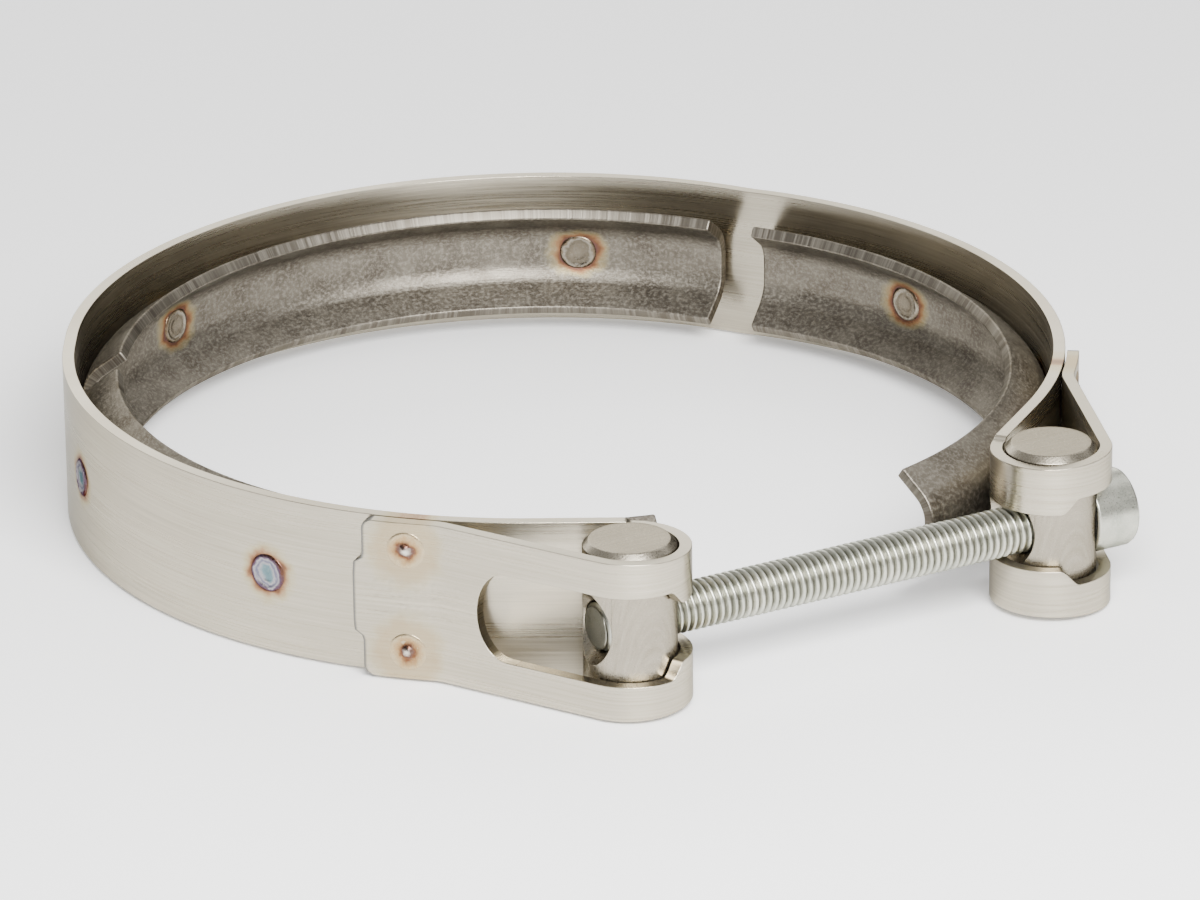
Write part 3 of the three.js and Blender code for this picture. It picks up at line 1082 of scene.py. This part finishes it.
class NodeBuilder:
    """Adds and links the nodes of one tree."""

    def __init__(self, tree: bpy.types.NodeTree) -> None:
        """Keep the tree that is being built."""
        self.tree = tree

    def add(self, kind: str, inputs: dict | None = None, **settings: object) -> bpy.types.Node:
        """Add a node.

        Args:
            kind: The node's type.
            inputs: For each input's name or number, a value or a socket to link.
            settings: The node's own properties.

        Returns:
            The node.
        """
        node = self.tree.nodes.new(kind)
        for name, value in settings.items():
            setattr(node, name, value)
        for key, value in (inputs or {}).items():
            if isinstance(value, bpy.types.NodeSocket):
                self.tree.links.new(value, node.inputs[key])
            else:
                node.inputs[key].default_value = value
        return node

    def math(self, operation: str, first: object, second: object = 0.5) -> bpy.types.NodeSocket:
        """Add a math node and give its output."""
        return self.add("ShaderNodeMath", {0: first, 1: second}, operation=operation).outputs[0]

    def mix(self, share: object, first: object, second: object) -> bpy.types.NodeSocket:
        """Mix two colours and give the result."""
        node = self.add("ShaderNodeMix", data_type="RGBA")
        for number, value in ((0, share), (6, first), (7, second)):
            if isinstance(value, bpy.types.NodeSocket):
                self.tree.links.new(value, node.inputs[number])
            else:
                node.inputs[number].default_value = value
        return node.outputs[2]

    def ramp(self, value: object, stops: list[tuple[float, tuple]]) -> bpy.types.NodeSocket:
        """Turn a value into a colour by a ramp of places and colours."""
        node = self.add("ShaderNodeValToRGB", {0: value})
        elements = node.color_ramp.elements
        while len(elements) < len(stops):
            elements.new(0.5)
        for element, (place, color) in zip(elements, stops):
            element.position = place
            element.color = (*color, 1.0)
        return node.outputs[0]

    def range(
        self, value: object, low: float, high: float, start: float, end: float
    ) -> bpy.types.NodeSocket:
        """Map a value from one range to another."""
        node = self.add("ShaderNodeMapRange", {0: value, 1: low, 2: high, 3: start, 4: end})
        return node.outputs[0]

    def vector(self, operation: str, first: object, second: object = (0, 0, 0)) -> bpy.types.NodeSocket:
        """Add a vector math node and give its vector."""
        return self.add("ShaderNodeVectorMath", {0: first, 1: second}, operation=operation).outputs[0]

    def noise(
        self, place: object, scale: object, detail: float = 3.0, roughness: float = 0.5
    ) -> bpy.types.NodeSocket:
        """Add a noise texture and give its value."""
        settings = {"Vector": place, "Scale": scale, "Detail": detail, "Roughness": roughness}
        return self.add("ShaderNodeTexNoise", settings).outputs[0]

    def distance(self, first: object, second: object = (0, 0, 0)) -> bpy.types.NodeSocket:
        """Give the distance between two places."""
        node = self.add("ShaderNodeVectorMath", {0: first, 1: second}, operation="DISTANCE")
        return node.outputs["Value"]


def new_group(name: str, inputs: dict[str, tuple[str, object]], outputs: dict[str, str]) -> tuple:
    """Start a shader node group.

    Args:
        name: The group's name.
        inputs: Each input's kind, Float, Vector or Color, and its default.
        outputs: Each output's kind.

    Returns:
        The group, its builder, its input node and its output node.
    """
    group = bpy.data.node_groups.new(name, "ShaderNodeTree")
    for label, (kind, default) in inputs.items():
        socket = group.interface.new_socket(label, in_out="INPUT", socket_type=f"NodeSocket{kind}")
        socket.default_value = default
    for label, kind in outputs.items():
        group.interface.new_socket(label, in_out="OUTPUT", socket_type=f"NodeSocket{kind}")
    build = NodeBuilder(group)
    return group, build, build.add("NodeGroupInput"), build.add("NodeGroupOutput")


def brushed_grain() -> bpy.types.NodeTree:
    """Straight scratches along X of the given vector: a fine mask and a broad one."""
    group, build, given, put = new_group(
        "brushed_grain",
        {"Vector": ("Vector", (0, 0, 0)), "Fineness": ("Float", 900.0), "Length": ("Float", 14.0)},
        {"Mask": "Float", "Broad": "Float"},
    )
    sizes = {0: given.outputs["Length"], 1: given.outputs["Fineness"], 2: 1.0}
    stretch = build.add("ShaderNodeCombineXYZ", sizes).outputs[0]
    fine_at = build.vector("MULTIPLY", given.outputs["Vector"], stretch)
    broad_at = build.vector("MULTIPLY", fine_at, (0.3, 0.09, 1.0))
    group.links.new(build.noise(fine_at, 1.0, 5.0, 0.62), put.inputs["Mask"])
    group.links.new(build.noise(broad_at, 1.0), put.inputs["Broad"])
    return group


def mottle() -> bpy.types.NodeTree:
    """Soft cloudy variation with fine speckle, for mill finish and plating."""
    group, build, given, put = new_group(
        "mottle",
        {"Vector": ("Vector", (0, 0, 0)), "Cloud": ("Float", 60.0), "Speckle": ("Float", 1400.0)},
        {"Cloud": "Float", "Speckle": "Float"},
    )
    place = given.outputs["Vector"]
    cloud = build.noise(place, given.outputs["Cloud"], 4.0, 0.6)
    speckle = build.noise(place, given.outputs["Speckle"], 3.0, 0.7)
    group.links.new(cloud, put.inputs["Cloud"])
    group.links.new(speckle, put.inputs["Speckle"])
    return group


def heat_tint() -> bpy.types.NodeTree:
    """The coloured rings round a weld, laid over a base colour."""
    group, build, given, put = new_group(
        "heat_tint",
        {
            "Color": ("Color", (0.5, 0.5, 0.5, 1)),
            "Vector": ("Vector", (0, 0, 0)),
            "Centre": ("Vector", (0, 0, 0)),
            "Radius": ("Float", 0.05),
            "Strength": ("Float", 1.0),
            "Start": ("Float", 0.0),
        },
        {"Color": "Color"},
    )
    place = given.outputs["Vector"]
    wobble = build.range(build.noise(place, 42.0), 0.3, 0.7, -0.09, 0.09)
    distance = build.distance(place, given.outputs["Centre"])
    uneven = build.math("ADD", build.math("DIVIDE", distance, given.outputs["Radius"]), wobble)
    tint = build.ramp(
        build.math("MAXIMUM", uneven, given.outputs["Start"]),
        [
            (0.0, (0.20, 0.20, 0.26)),
            (0.46, (0.11, 0.05, 0.05)),
            (0.58, (0.17, 0.075, 0.04)),
            (0.68, (0.33, 0.17, 0.07)),
            (0.80, (0.42, 0.335, 0.15)),
            (1.0, (0.50, 0.45, 0.27)),
        ],
    )
    fade = build.range(uneven, 0.6, 1.0, 1.0, 0.0)
    mask = build.math("MULTIPLY", fade, given.outputs["Strength"])
    group.links.new(build.mix(mask, given.outputs["Color"], tint), put.inputs["Color"])
    return group


def stamped_dots() -> bpy.types.NodeTree:
    """A faint band of stamped dots along the middle of a strip, between two places along it."""
    group, build, given, put = new_group(
        "stamped_dots",
        {
            "Vector": ("Vector", (0, 0, 0)),
            "Start": ("Float", 0.0),
            "End": ("Float", 1.0),
            "Half": ("Float", 0.034),
            "Spacing": ("Float", 0.014),
        },
        {"Height": "Float"},
    )
    place = build.add("ShaderNodeSeparateXYZ", {0: given.outputs["Vector"]})
    scale = build.math("DIVIDE", 1.0, given.outputs["Spacing"])
    cells = build.add(
        "ShaderNodeTexVoronoi", {"Vector": given.outputs["Vector"], "Scale": scale, "Randomness": 0.35}
    )
    dot = build.range(cells.outputs["Distance"], 0.15, 0.45, 1.0, 0.0)
    past = build.math("GREATER_THAN", place.outputs[0], given.outputs["Start"])
    before = build.math("LESS_THAN", place.outputs[0], given.outputs["End"])
    near = build.math("LESS_THAN", build.math("ABSOLUTE", place.outputs[1]), given.outputs["Half"])
    mask = build.math("MULTIPLY", build.math("MULTIPLY", past, before), near)
    group.links.new(build.math("MULTIPLY", dot, mask), put.inputs["Height"])
    return group


# ---------------------------------------------------------------- finishes


@dataclass(frozen=True)
class Groups:
    """The shader node groups that the finishes share."""

    grain: bpy.types.NodeTree
    mottle: bpy.types.NodeTree
    heat: bpy.types.NodeTree
    dots: bpy.types.NodeTree


@dataclass(frozen=True)
class Tint:
    """A heat-tinted spot in a piece's UV map, in millimetres of its surface."""

    along: float
    across: float
    radius: float
    strength: float
    start: float = 0.0  # a later start leaves out the darker inner rings


class Finish:
    """A metal finish: one material with a Principled shader and the groups that vary it."""

    def __init__(self, name: str, groups: Groups, grazing: float = 0.3) -> None:
        """Start the material.

        Args:
            name: The material's name.
            groups: The shared node groups.
            grazing: How bright the metal stays where it is seen at a grazing angle; below 1 it darkens the
                sides of curved pieces as painted shade.
        """
        self.groups = groups
        self.material = bpy.data.materials.new(name)
        self.material.use_nodes = True
        self.build = NodeBuilder(self.material.node_tree)
        self.shader = self.material.node_tree.nodes["Principled BSDF"]
        self.shader.inputs["Metallic"].default_value = 1.0
        # Painted shade: a Specular Tint darker than white dims the metal at grazing angles, so the sides of
        # curved pieces turn darker.
        self.shader.inputs["Specular Tint"].default_value = (grazing, grazing, grazing * 0.97, 1)

    def place(self, group: bpy.types.NodeTree, **values: object) -> bpy.types.Node:
        """Place a shared group with its own values."""
        return self.build.add("ShaderNodeGroup", values, node_tree=group)

    def link(self, socket: bpy.types.NodeSocket, name: str) -> None:
        """Link a value or colour to one of the shader's inputs."""
        self.material.node_tree.links.new(socket, self.shader.inputs[name])

    def bump(self, height: bpy.types.NodeSocket, strength: float, distance: float) -> None:
        """Drive the shader's normal from a height."""
        settings = {"Strength": strength, "Distance": distance, "Height": height}
        self.link(self.build.add("ShaderNodeBump", settings).outputs[0], "Normal")

    def coordinates(self, kind: str) -> bpy.types.NodeSocket:
        """Give the surface's own coordinates, Object or UV."""
        return self.build.add("ShaderNodeTexCoord").outputs[kind]

    def heated(
        self, color: bpy.types.NodeSocket, at: bpy.types.NodeSocket, tints: list[Tint]
    ) -> bpy.types.NodeSocket:
        """Lay the heat rings of some welds over a colour.

        Args:
            color: The metal's colour.
            at: The piece's own UV coordinates.
            tints: The heat-tinted spots.

        Returns:
            The colour with its rings.
        """
        for tint in tints:
            node = self.place(
                self.groups.heat,
                Color=color,
                Vector=at,
                Centre=(tint.along * UV_PER_MM, tint.across * UV_PER_MM, 0.0),
                Radius=tint.radius * UV_PER_MM,
                Strength=tint.strength,
                Start=tint.start,
            )
            color = node.outputs["Color"]
        return color


@dataclass(frozen=True)
class WeldColors:
    """Colours of a weld mark from its middle outwards, each with its distance in millimetres."""

    stops: tuple[tuple[float, tuple[float, float, float]], ...]
    reach: float = 3.3


# The light grey stops at 1.5 and 2.4 mm are painted highlights on the raised rings of the pressed mark; the
# other stops are its heat colours.
OUTER_COLORS = WeldColors(
    (
        (0.0, (0.10, 0.17, 0.185)),
        (1.0, (0.14, 0.21, 0.235)),
        (1.5, (0.32, 0.31, 0.32)),
        (1.9, (0.13, 0.13, 0.19)),
        (2.4, (0.33, 0.31, 0.32)),
        (2.75, (0.09, 0.06, 0.10)),
        (3.3, (0.10, 0.045, 0.03)),
    )
)
INNER_COLORS = WeldColors(
    (
        (0.0, (0.19, 0.165, 0.125)),
        (1.5, (0.16, 0.135, 0.10)),
        (2.1, (0.13, 0.11, 0.08)),
        (2.5, (0.29, 0.26, 0.21)),
        (2.85, (0.18, 0.145, 0.10)),
        (3.3, (0.11, 0.075, 0.045)),
    )
)
BEADED_COLORS = WeldColors(
    (
        (0.0, (0.66, 0.62, 0.55)),
        (0.5, (0.42, 0.36, 0.31)),
        (0.85, (0.12, 0.07, 0.06)),
        (1.3, (0.16, 0.07, 0.035)),
        (1.9, (0.36, 0.23, 0.11)),
        (2.6, (0.44, 0.34, 0.20)),
        (3.3, (0.46, 0.38, 0.25)),
    )
)


class BrushedStrip(Finish):
    """Bright brushed stainless strip, with heat rings round its welds and a painted shadow line along its
    free end.
    """

    def __init__(self, name: str, groups: Groups, tints: list[Tint], stamp: tuple[float, float]) -> None:
        """Dress the strip.

        Args:
            name: The material's name.
            groups: The shared node groups.
            tints: The heat-tinted spots, in millimetres of the strip.
            stamp: Where the stamped dots start and end along the strip, in millimetres.
        """
        super().__init__(name, groups, grazing=0.5)
        at = self.coordinates("UV")
        grain = self.place(groups.grain, Vector=at, Fineness=260.0, Length=4.0)
        clouds = self.place(groups.mottle, Vector=at, Cloud=5.0, Speckle=90.0)
        fine, broad = grain.outputs["Mask"], grain.outputs["Broad"]
        warm = self.build.mix(clouds.outputs["Cloud"], (0.47, 0.425, 0.335, 1), (0.37, 0.33, 0.255, 1))
        color = self.build.mix(self.build.range(fine, 0.35, 0.75, 0.0, 0.6), warm, (0.66, 0.61, 0.50, 1))
        color = self.heated(color, at, tints)
        # Painted shadow: the colour turns dark within 0.6 mm of the free end, a shadow line along that edge
        # and on its end face.
        end = self.build.add("ShaderNodeUVMap", uv_map="free_end").outputs[0]
        to_end = self.build.add("ShaderNodeSeparateXYZ", {0: end}).outputs[0]
        painted_end_shade = self.build.range(to_end, 0.25 * UV_PER_MM, 0.6 * UV_PER_MM, 0.8, 0.0)
        color = self.build.mix(painted_end_shade, color, (0.10, 0.105, 0.11, 1))
        self.link(color, "Base Color")
        streaks = self.build.range(broad, 0.3, 0.7, 0.25, 0.33)
        rough = self.build.math("ADD", streaks, self.build.range(fine, 0.3, 0.7, -0.04, 0.05))
        self.link(rough, "Roughness")
        height = self.build.math("ADD", fine, self.build.math("MULTIPLY", broad, 0.5))
        dots = self.place(groups.dots, Vector=at, Start=stamp[0] * UV_PER_MM, End=stamp[1] * UV_PER_MM)
        height = self.build.math("ADD", height, self.build.math("MULTIPLY", dots.outputs["Height"], 2.6))
        self.bump(height, 0.26, 0.00008)
        self.shader.inputs["Anisotropic"].default_value = 0.75
        self.shader.inputs["Anisotropic Rotation"].default_value = 0.25


class MillSteel(Finish):
    """Dull mill-finish stainless of the pressed segments: rolled grain, stains and fine pits."""

    def __init__(self, name: str, groups: Groups, tints: list[Tint]) -> None:
        """Dress a segment, with heat rings as on the strip."""
        super().__init__(name, groups)
        at = self.coordinates("UV")
        grain = self.place(groups.grain, Vector=at, Fineness=160.0, Length=18.0)
        clouds = self.place(groups.mottle, Vector=at, Cloud=14.0, Speckle=130.0)
        cloud, speckle = clouds.outputs["Cloud"], clouds.outputs["Speckle"]
        stained = self.build.range(cloud, 0.35, 0.65, 0, 1)
        base = self.build.mix(stained, (0.205, 0.185, 0.15, 1), (0.115, 0.10, 0.08, 1))
        color = self.build.mix(self.build.range(speckle, 0.45, 0.7, 0.0, 0.7), base, (0.37, 0.34, 0.285, 1))
        color = self.heated(color, at, tints)
        self.link(color, "Base Color")
        self.link(self.build.range(speckle, 0.3, 0.7, 0.38, 0.56), "Roughness")
        height = self.build.math("ADD", speckle, self.build.math("MULTIPLY", grain.outputs["Mask"], 0.8))
        self.bump(height, 0.55, 0.00012)


class TurnedSteel(Finish):
    """Satin turned steel of the barrels."""

    def __init__(self, name: str, groups: Groups) -> None:
        """Dress a barrel."""
        super().__init__(name, groups)
        at = self.coordinates("Object")
        turned = {"Vector": at, "Rotation": (0.35, math.pi / 2, 0.5)}
        upright = self.build.add("ShaderNodeMapping", turned).outputs[0]
        grain = self.place(groups.grain, Vector=upright, Fineness=2600.0, Length=130.0)
        clouds = self.place(groups.mottle, Vector=at, Cloud=160.0, Speckle=2600.0)
        fine = grain.outputs["Mask"]
        base = self.build.mix(clouds.outputs["Cloud"], (0.33, 0.295, 0.23, 1), (0.235, 0.205, 0.155, 1))
        color = self.build.mix(self.build.range(fine, 0.3, 0.7, 0.0, 0.35), base, (0.50, 0.465, 0.39, 1))
        self.link(color, "Base Color")
        self.link(self.build.range(clouds.outputs["Speckle"], 0.3, 0.7, 0.22, 0.38), "Roughness")
        self.bump(fine, 0.25, 0.0001)


class ZincPlate(Finish):
    """Pale zinc plate of the screw, faintly green and yellow, with painted shade darkening the roots of its
    thread.
    """

    def __init__(self, name: str, groups: Groups, axis: Vector) -> None:
        """Dress the screw.

        Args:
            name: The material's name.
            groups: The shared node groups.
            axis: A point on the screw's axis, in millimetres.
        """
        super().__init__(name, groups)
        at = self.coordinates("Object")
        clouds = self.place(groups.mottle, Vector=at, Cloud=210.0, Speckle=3800.0)
        cloud, speckle = clouds.outputs["Cloud"], clouds.outputs["Speckle"]
        dulled = self.build.range(cloud, 0.35, 0.65, 0, 1)
        bright = self.build.mix(dulled, (0.60, 0.595, 0.51, 1), (0.43, 0.44, 0.375, 1))
        sparkle = self.build.range(speckle, 0.5, 0.8, 0.0, 0.6)
        speckled = self.build.mix(sparkle, bright, (0.74, 0.73, 0.65, 1))
        # Painted shade: the colour darkens towards the roots of the thread, by distance from the screw's
        # axis, for the shade in its grooves.
        from_axis = self.build.vector("SUBTRACT", at, axis * MM)
        radius = self.build.distance(self.build.vector("MULTIPLY", from_axis, (0.0, 1.0, 1.0)))
        depth = self.build.range(radius, 3.35 * MM, 3.8 * MM, 1.0, 0.0)
        color = self.build.mix(self.build.math("MULTIPLY", depth, 0.85), speckled, (0.12, 0.115, 0.09, 1))
        self.link(color, "Base Color")
        self.link(self.build.range(speckle, 0.3, 0.7, 0.24, 0.42), "Roughness")
        self.bump(speckle, 0.35, 0.00007)


class WeldMetal(Finish):
    """Fused metal of a spot weld, coloured in rings by its heat."""

    def __init__(self, name: str, groups: Groups, colors: WeldColors) -> None:
        """Dress a weld.

        Args:
            name: The material's name.
            groups: The shared node groups.
            colors: Its colours from the middle outwards.
        """
        super().__init__(name, groups)
        at = self.coordinates("UV")
        here = self.coordinates("Object")
        clouds = self.place(groups.mottle, Vector=here, Cloud=420.0, Speckle=2600.0)
        cloud, speckle = clouds.outputs["Cloud"], clouds.outputs["Speckle"]
        share = self.build.math("DIVIDE", self.build.distance(at), colors.reach * UV_PER_MM)
        uneven = self.build.math("ADD", share, self.build.range(cloud, 0.3, 0.7, -0.16, 0.16))
        rings = self.build.ramp(uneven, [(place / colors.reach, color) for place, color in colors.stops])
        sparkle = self.build.range(speckle, 0.5, 0.8, 0.0, 0.2)
        self.link(self.build.mix(sparkle, rings, (0.5, 0.47, 0.41, 1)), "Base Color")
        self.link(self.build.range(speckle, 0.3, 0.7, 0.22, 0.42), "Roughness")
        self.bump(cloud, 0.35, 0.00012)


# ---------------------------------------------------------------- studio


@dataclass(frozen=True)
class Studio:
    """Camera, lights and floor. Angles in degrees, distances in metres, the floor in millimetres.

    The room's greys go by share of its height, and by share of its width from left to right.
    """

    ring: Ring
    azimuth: float = 28.86
    elevation: float = 22.2
    distance: float = 1.345
    lens: float = 239.6
    pan: float = -0.439
    tilt: float = 0.222
    roll: float = 0.870
    room_rise: tuple[tuple[float, float], ...] = ((0.5, 0.5), (0.62, 0.85), (0.8, 0.9), (0.94, 0.75))
    room_width: tuple[tuple[float, float], ...] = ((0.1, 0.3), (0.4, 0.85), (0.62, 0.8), (0.85, 0.3))
    floor_level: float = -0.05

    def camera(self) -> None:
        """Stand the camera where the clamp is seen from, with its small pan, tilt and roll."""
        turn, rise = math.radians(self.azimuth), math.radians(self.elevation)
        back = Vector((-math.sin(turn) * math.cos(rise), -math.cos(turn) * math.cos(rise), math.sin(rise)))
        centre = self.ring.placement.translation * MM
        foot = (self.ring.mid_height - self.ring.strap_width / 2) * MM
        look = -back
        right = look.cross(Vector((0, 0, 1))).normalized()
        up = right.cross(look)
        pan = Matrix.Rotation(math.radians(self.pan), 3, up)
        look, right = pan @ look, pan @ right
        tilt = Matrix.Rotation(math.radians(self.tilt), 3, right)
        look, up = tilt @ look, tilt @ up
        roll = Matrix.Rotation(math.radians(self.roll), 3, look)
        right, up = roll @ right, roll @ up
        turn_matrix = Matrix((right, up, -look)).transposed().to_4x4()
        data = bpy.data.cameras.new("camera")
        data.lens = self.lens
        data.sensor_width = 36.0
        data.clip_start, data.clip_end = 0.05, 20.0
        made = bpy.data.objects.new("camera", data)
        place = Vector((centre.x, centre.y, foot)) + back * self.distance
        made.matrix_world = Matrix.Translation(place) @ turn_matrix
        bpy.context.scene.collection.objects.link(made)
        bpy.context.scene.camera = made

    def softbox(self, name: str, place: tuple, size: tuple, watts: float) -> None:
        """Hang a soft rectangular light that faces the clamp.

        Args:
            name: The light's name.
            place: Where it hangs.
            size: Its width and height.
            watts: Its power.
        """
        data = bpy.data.lights.new(name, "AREA")
        data.shape = "RECTANGLE"
        data.size, data.size_y = size
        data.energy = watts
        made = bpy.data.objects.new(name, data)
        made.location = place
        made.rotation_mode = "QUATERNION"
        made.rotation_quaternion = (-Vector(place)).to_track_quat("-Z", "Y")
        bpy.context.scene.collection.objects.link(made)

    def lights(self) -> None:
        """Light the clamp softly from above and both sides, in a pale room."""
        self.softbox("back_softbox", (0.25, 1.25, 0.6), (1.6, 0.7), 13.0)
        self.softbox("key_softbox", (-0.12, -0.44, 0.40), (0.36, 0.26), 10.0)
        self.softbox("right_softbox", (1.0, 0.15, 1.0), (0.7, 0.7), 3.5)
        world = bpy.data.worlds.new("pale_room")
        world.use_nodes = True
        build = NodeBuilder(world.node_tree)
        background = world.node_tree.nodes["Background"]
        direction = build.add("ShaderNodeTexCoord").outputs["Generated"]
        sideways, _, height = build.add("ShaderNodeSeparateXYZ", {0: direction}).outputs
        glows = []
        for value, greys in ((height, self.room_rise), (sideways, self.room_width)):
            stops = [(place, (grey, grey, grey)) for place, grey in greys]
            glows.append(build.ramp(build.range(value, -1.0, 1.0, 0.0, 1.0), stops))
        world.node_tree.links.new(build.vector("MULTIPLY", *glows), background.inputs["Color"])
        background.inputs["Strength"].default_value = 1.3
        bpy.context.scene.world = world

    def floor(self) -> None:
        """Lay a plain pale floor."""
        bm = bmesh.new()
        bmesh.ops.create_grid(bm, x_segments=8, y_segments=8, size=4000.0)
        bmesh.ops.translate(bm, vec=(0, 0, self.floor_level), verts=bm.verts)
        made = to_object(bm, "floor")
        material = bpy.data.materials.new("pale_floor")
        material.use_nodes = True
        shader = material.node_tree.nodes["Principled BSDF"]
        shader.inputs["Base Color"].default_value = (0.93, 0.93, 0.93, 1)
        shader.inputs["Roughness"].default_value = 0.9
        shader.inputs["Specular IOR Level"].default_value = 0.1
        shader.inputs["Emission Color"].default_value = (1, 1, 1, 1)
        shader.inputs["Emission Strength"].default_value = 0.3
        made.data.materials.append(material)


# ---------------------------------------------------------------- assembly


@dataclass
class Clamp:
    """The whole clamp: builds every piece, dresses it and hangs each piece but the strap halves on its
    body.

    Each heat is the radius in millimetres and the strength of a kind of heat spot.
    """

    ring: Ring
    groups: Groups
    outer_heat: tuple[float, float] = (5.6, 0.95)
    inner_heat: tuple[float, float] = (6.2, 0.9)
    tail_heat: tuple[float, float] = (7.6, 0.5)
    under_heat: tuple[float, float] = (7.2, 0.7)
    tail_start: float = 0.76
    stamp_ends: tuple[float, float] = (5.0, 1.0)
    strap: Strap = field(init=False)
    segment: Segment = field(init=False)
    welds: SpotWeld = field(init=False)

    def __post_init__(self) -> None:
        """Make the sub-assemblies that share the ring."""
        self.strap = Strap(self.ring)
        self.segment = Segment(self.ring)
        self.welds = SpotWeld(self.ring, self.segment)

    def dress(self, piece: bpy.types.Object, finish: Finish | tuple, slot: str, *nodes: str) -> None:
        """Give a piece its finishes, and let it stand for its nodes.

        Args:
            piece: The piece.
            finish: Its finish, or one finish for each of its material numbers.
            slot: Its slot in the frame; not used.
            *nodes: The nodes of the frame that it stands for.
        """
        finishes = finish if isinstance(finish, tuple) else (finish,)
        numbers = [polygon.material_index for polygon in piece.data.polygons]
        piece.data.materials.clear()
        for each in finishes:
            piece.data.materials.append(each.material)
        for polygon, number in zip(piece.data.polygons, numbers):
            polygon.material_index = min(number, len(finishes) - 1)
        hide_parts(*nodes)
        LOG.info("%s: %d faces, stands for %s", piece.name, len(piece.data.polygons), ", ".join(nodes))

    def strap_tints(self, side: Side) -> list[Tint]:
        """List the heat spots of one half of the strip, along the strip and off its middle."""
        label = label_of(side)
        found = []
        for node, owner in (
            (f"weld_segment_{label}_1", side),
            (f"weld_segment_{label}_2", side),
            ("weld_segment_back_1", None),
            ("weld_segment_back_2", None),
        ):
            angle, _ = self.welds.place(node, owner)
            way = side.value if owner is None else 1
            along = math.radians(angle * way) * self.ring.mid_radius
            found.append(Tint(side.value * along, 0.0, *self.outer_heat))
        for which in ("upper", "lower"):
            angle, height = self.welds.place(f"weld_tail_{label}_{which}", side)
            under = math.radians(angle) * self.ring.mid_radius
            rise = height - self.ring.mid_height
            over = self.strap.line.on_tail(angle)
            found.append(Tint(side.value * over, rise, *self.tail_heat, start=self.tail_start))
            found.append(Tint(side.value * under, rise, *self.under_heat))
        return found

    def segment_tints(self, side: Side | None) -> list[Tint]:
        """List the heat spots of a segment."""
        label = label_of(side)
        mirror = -1.0 if side is Side.LEFT else 1.0
        found = []
        for number in (1, 2):
            angle, _ = self.welds.place(f"weld_segment_{label}_{number}", side)
            along = mirror * math.radians(angle) * self.segment.web_radius
            found.append(Tint(along, 0.0, *self.inner_heat))
        return found

    def build_straps(self) -> None:
        """Build both halves of the strip, each across its flex joint."""
        for side in Side:
            label = label_of(side)
            strip = self.strap.build(side)
            marks = self.strap.line.starts
            stamped = (marks[4] - self.stamp_ends[0], marks[-1] - self.stamp_ends[1])
            ends = sorted(side.value * along for along in stamped)
            tints = self.strap_tints(side)
            finish = BrushedStrip(f"brushed_strip_{label}", self.groups, tints, tuple(ends))
            nodes = [f"strap_{label}"] + (["strap_back"] if side is Side.LEFT else [])
            self.dress(strip, finish, "strap_steel", *nodes)
            start, end = self.strap.flex_span(side)
            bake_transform(strip)

    def build_segments(self) -> None:
        """Build the three V-profile segments."""
        for side in (None, *Side):
            label = label_of(side)
            made = self.segment.build(side)
            finish = MillSteel(f"mill_steel_{label}", self.groups, self.segment_tints(side))
            self.dress(made, finish, "segment_steel", f"v_segment_{label}")
            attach(made, body_of(side))

    def build_welds(self) -> None:
        """Build the spot welds of the segments and of the tails."""
        outer = WeldMetal("outer_weld", self.groups, OUTER_COLORS)
        inner = WeldMetal("inner_weld", self.groups, INNER_COLORS)
        beaded = WeldMetal("beaded_weld", self.groups, BEADED_COLORS)
        for side in (None, *Side):
            label = label_of(side)
            for number in (1, 2):
                node = f"weld_segment_{label}_{number}"
                made = self.welds.build(node, (WeldFace.STRAP, WeldFace.SEGMENT), side)
                self.dress(made, (outer, inner), "weld_metal", node)
                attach(made, body_of(side))
        for side in Side:
            label = label_of(side)
            for rise in ("upper", "lower"):
                node = f"weld_tail_{label}_{rise}"
                made = self.welds.build(node, (WeldFace.TAIL,), side)
                self.dress(made, beaded, "weld_metal", node)
                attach(made, body_of(side))

    def build_barrels(self) -> None:
        """Build the threaded barrel on the left and the plain one on the right."""
        barrel = Barrel(self.ring)
        finish = TurnedSteel("turned_steel", self.groups)
        for label, node, seated in (("left", "threaded_barrel", False), ("right", "plain_barrel", True)):
            made = barrel.build(f"barrel_{label}", f"{label}_barrel_pivot", seated)
            self.dress(made, finish, "barrel_steel", node)
            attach(made, f"{label}_barrel")

    def build_screw(self) -> None:
        """Build the screw's thread and head."""
        screw = Screw(self.ring)
        finish = ZincPlate("zinc_plate", self.groups, screw.foot)
        for made in (screw.thread(), screw.head()):
            self.dress(made, finish, "zinc_screw", "socket_head_screw")
            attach(made, "screw")


def corners(box: tuple[Vector, Vector]) -> list[list[float]]:
    """Give a box's two corners as plain lists."""
    return [list(corner) for corner in box]


def main() -> None:
    """Build the clamp and its studio around the frame."""
    logging.basicConfig(level=logging.INFO, format="%(message)s")
    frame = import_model()
    ring = Ring(frame)
    studio = Studio(ring)
    studio.camera()
    clamp = Clamp(ring, Groups(brushed_grain(), mottle(), heat_tint(), stamped_dots()))
    clamp.build_straps()
    clamp.build_segments()
    clamp.build_welds()
    clamp.build_barrels()
    clamp.build_screw()
    studio.lights()
    studio.floor()


if __name__ == "__main__":
    main()
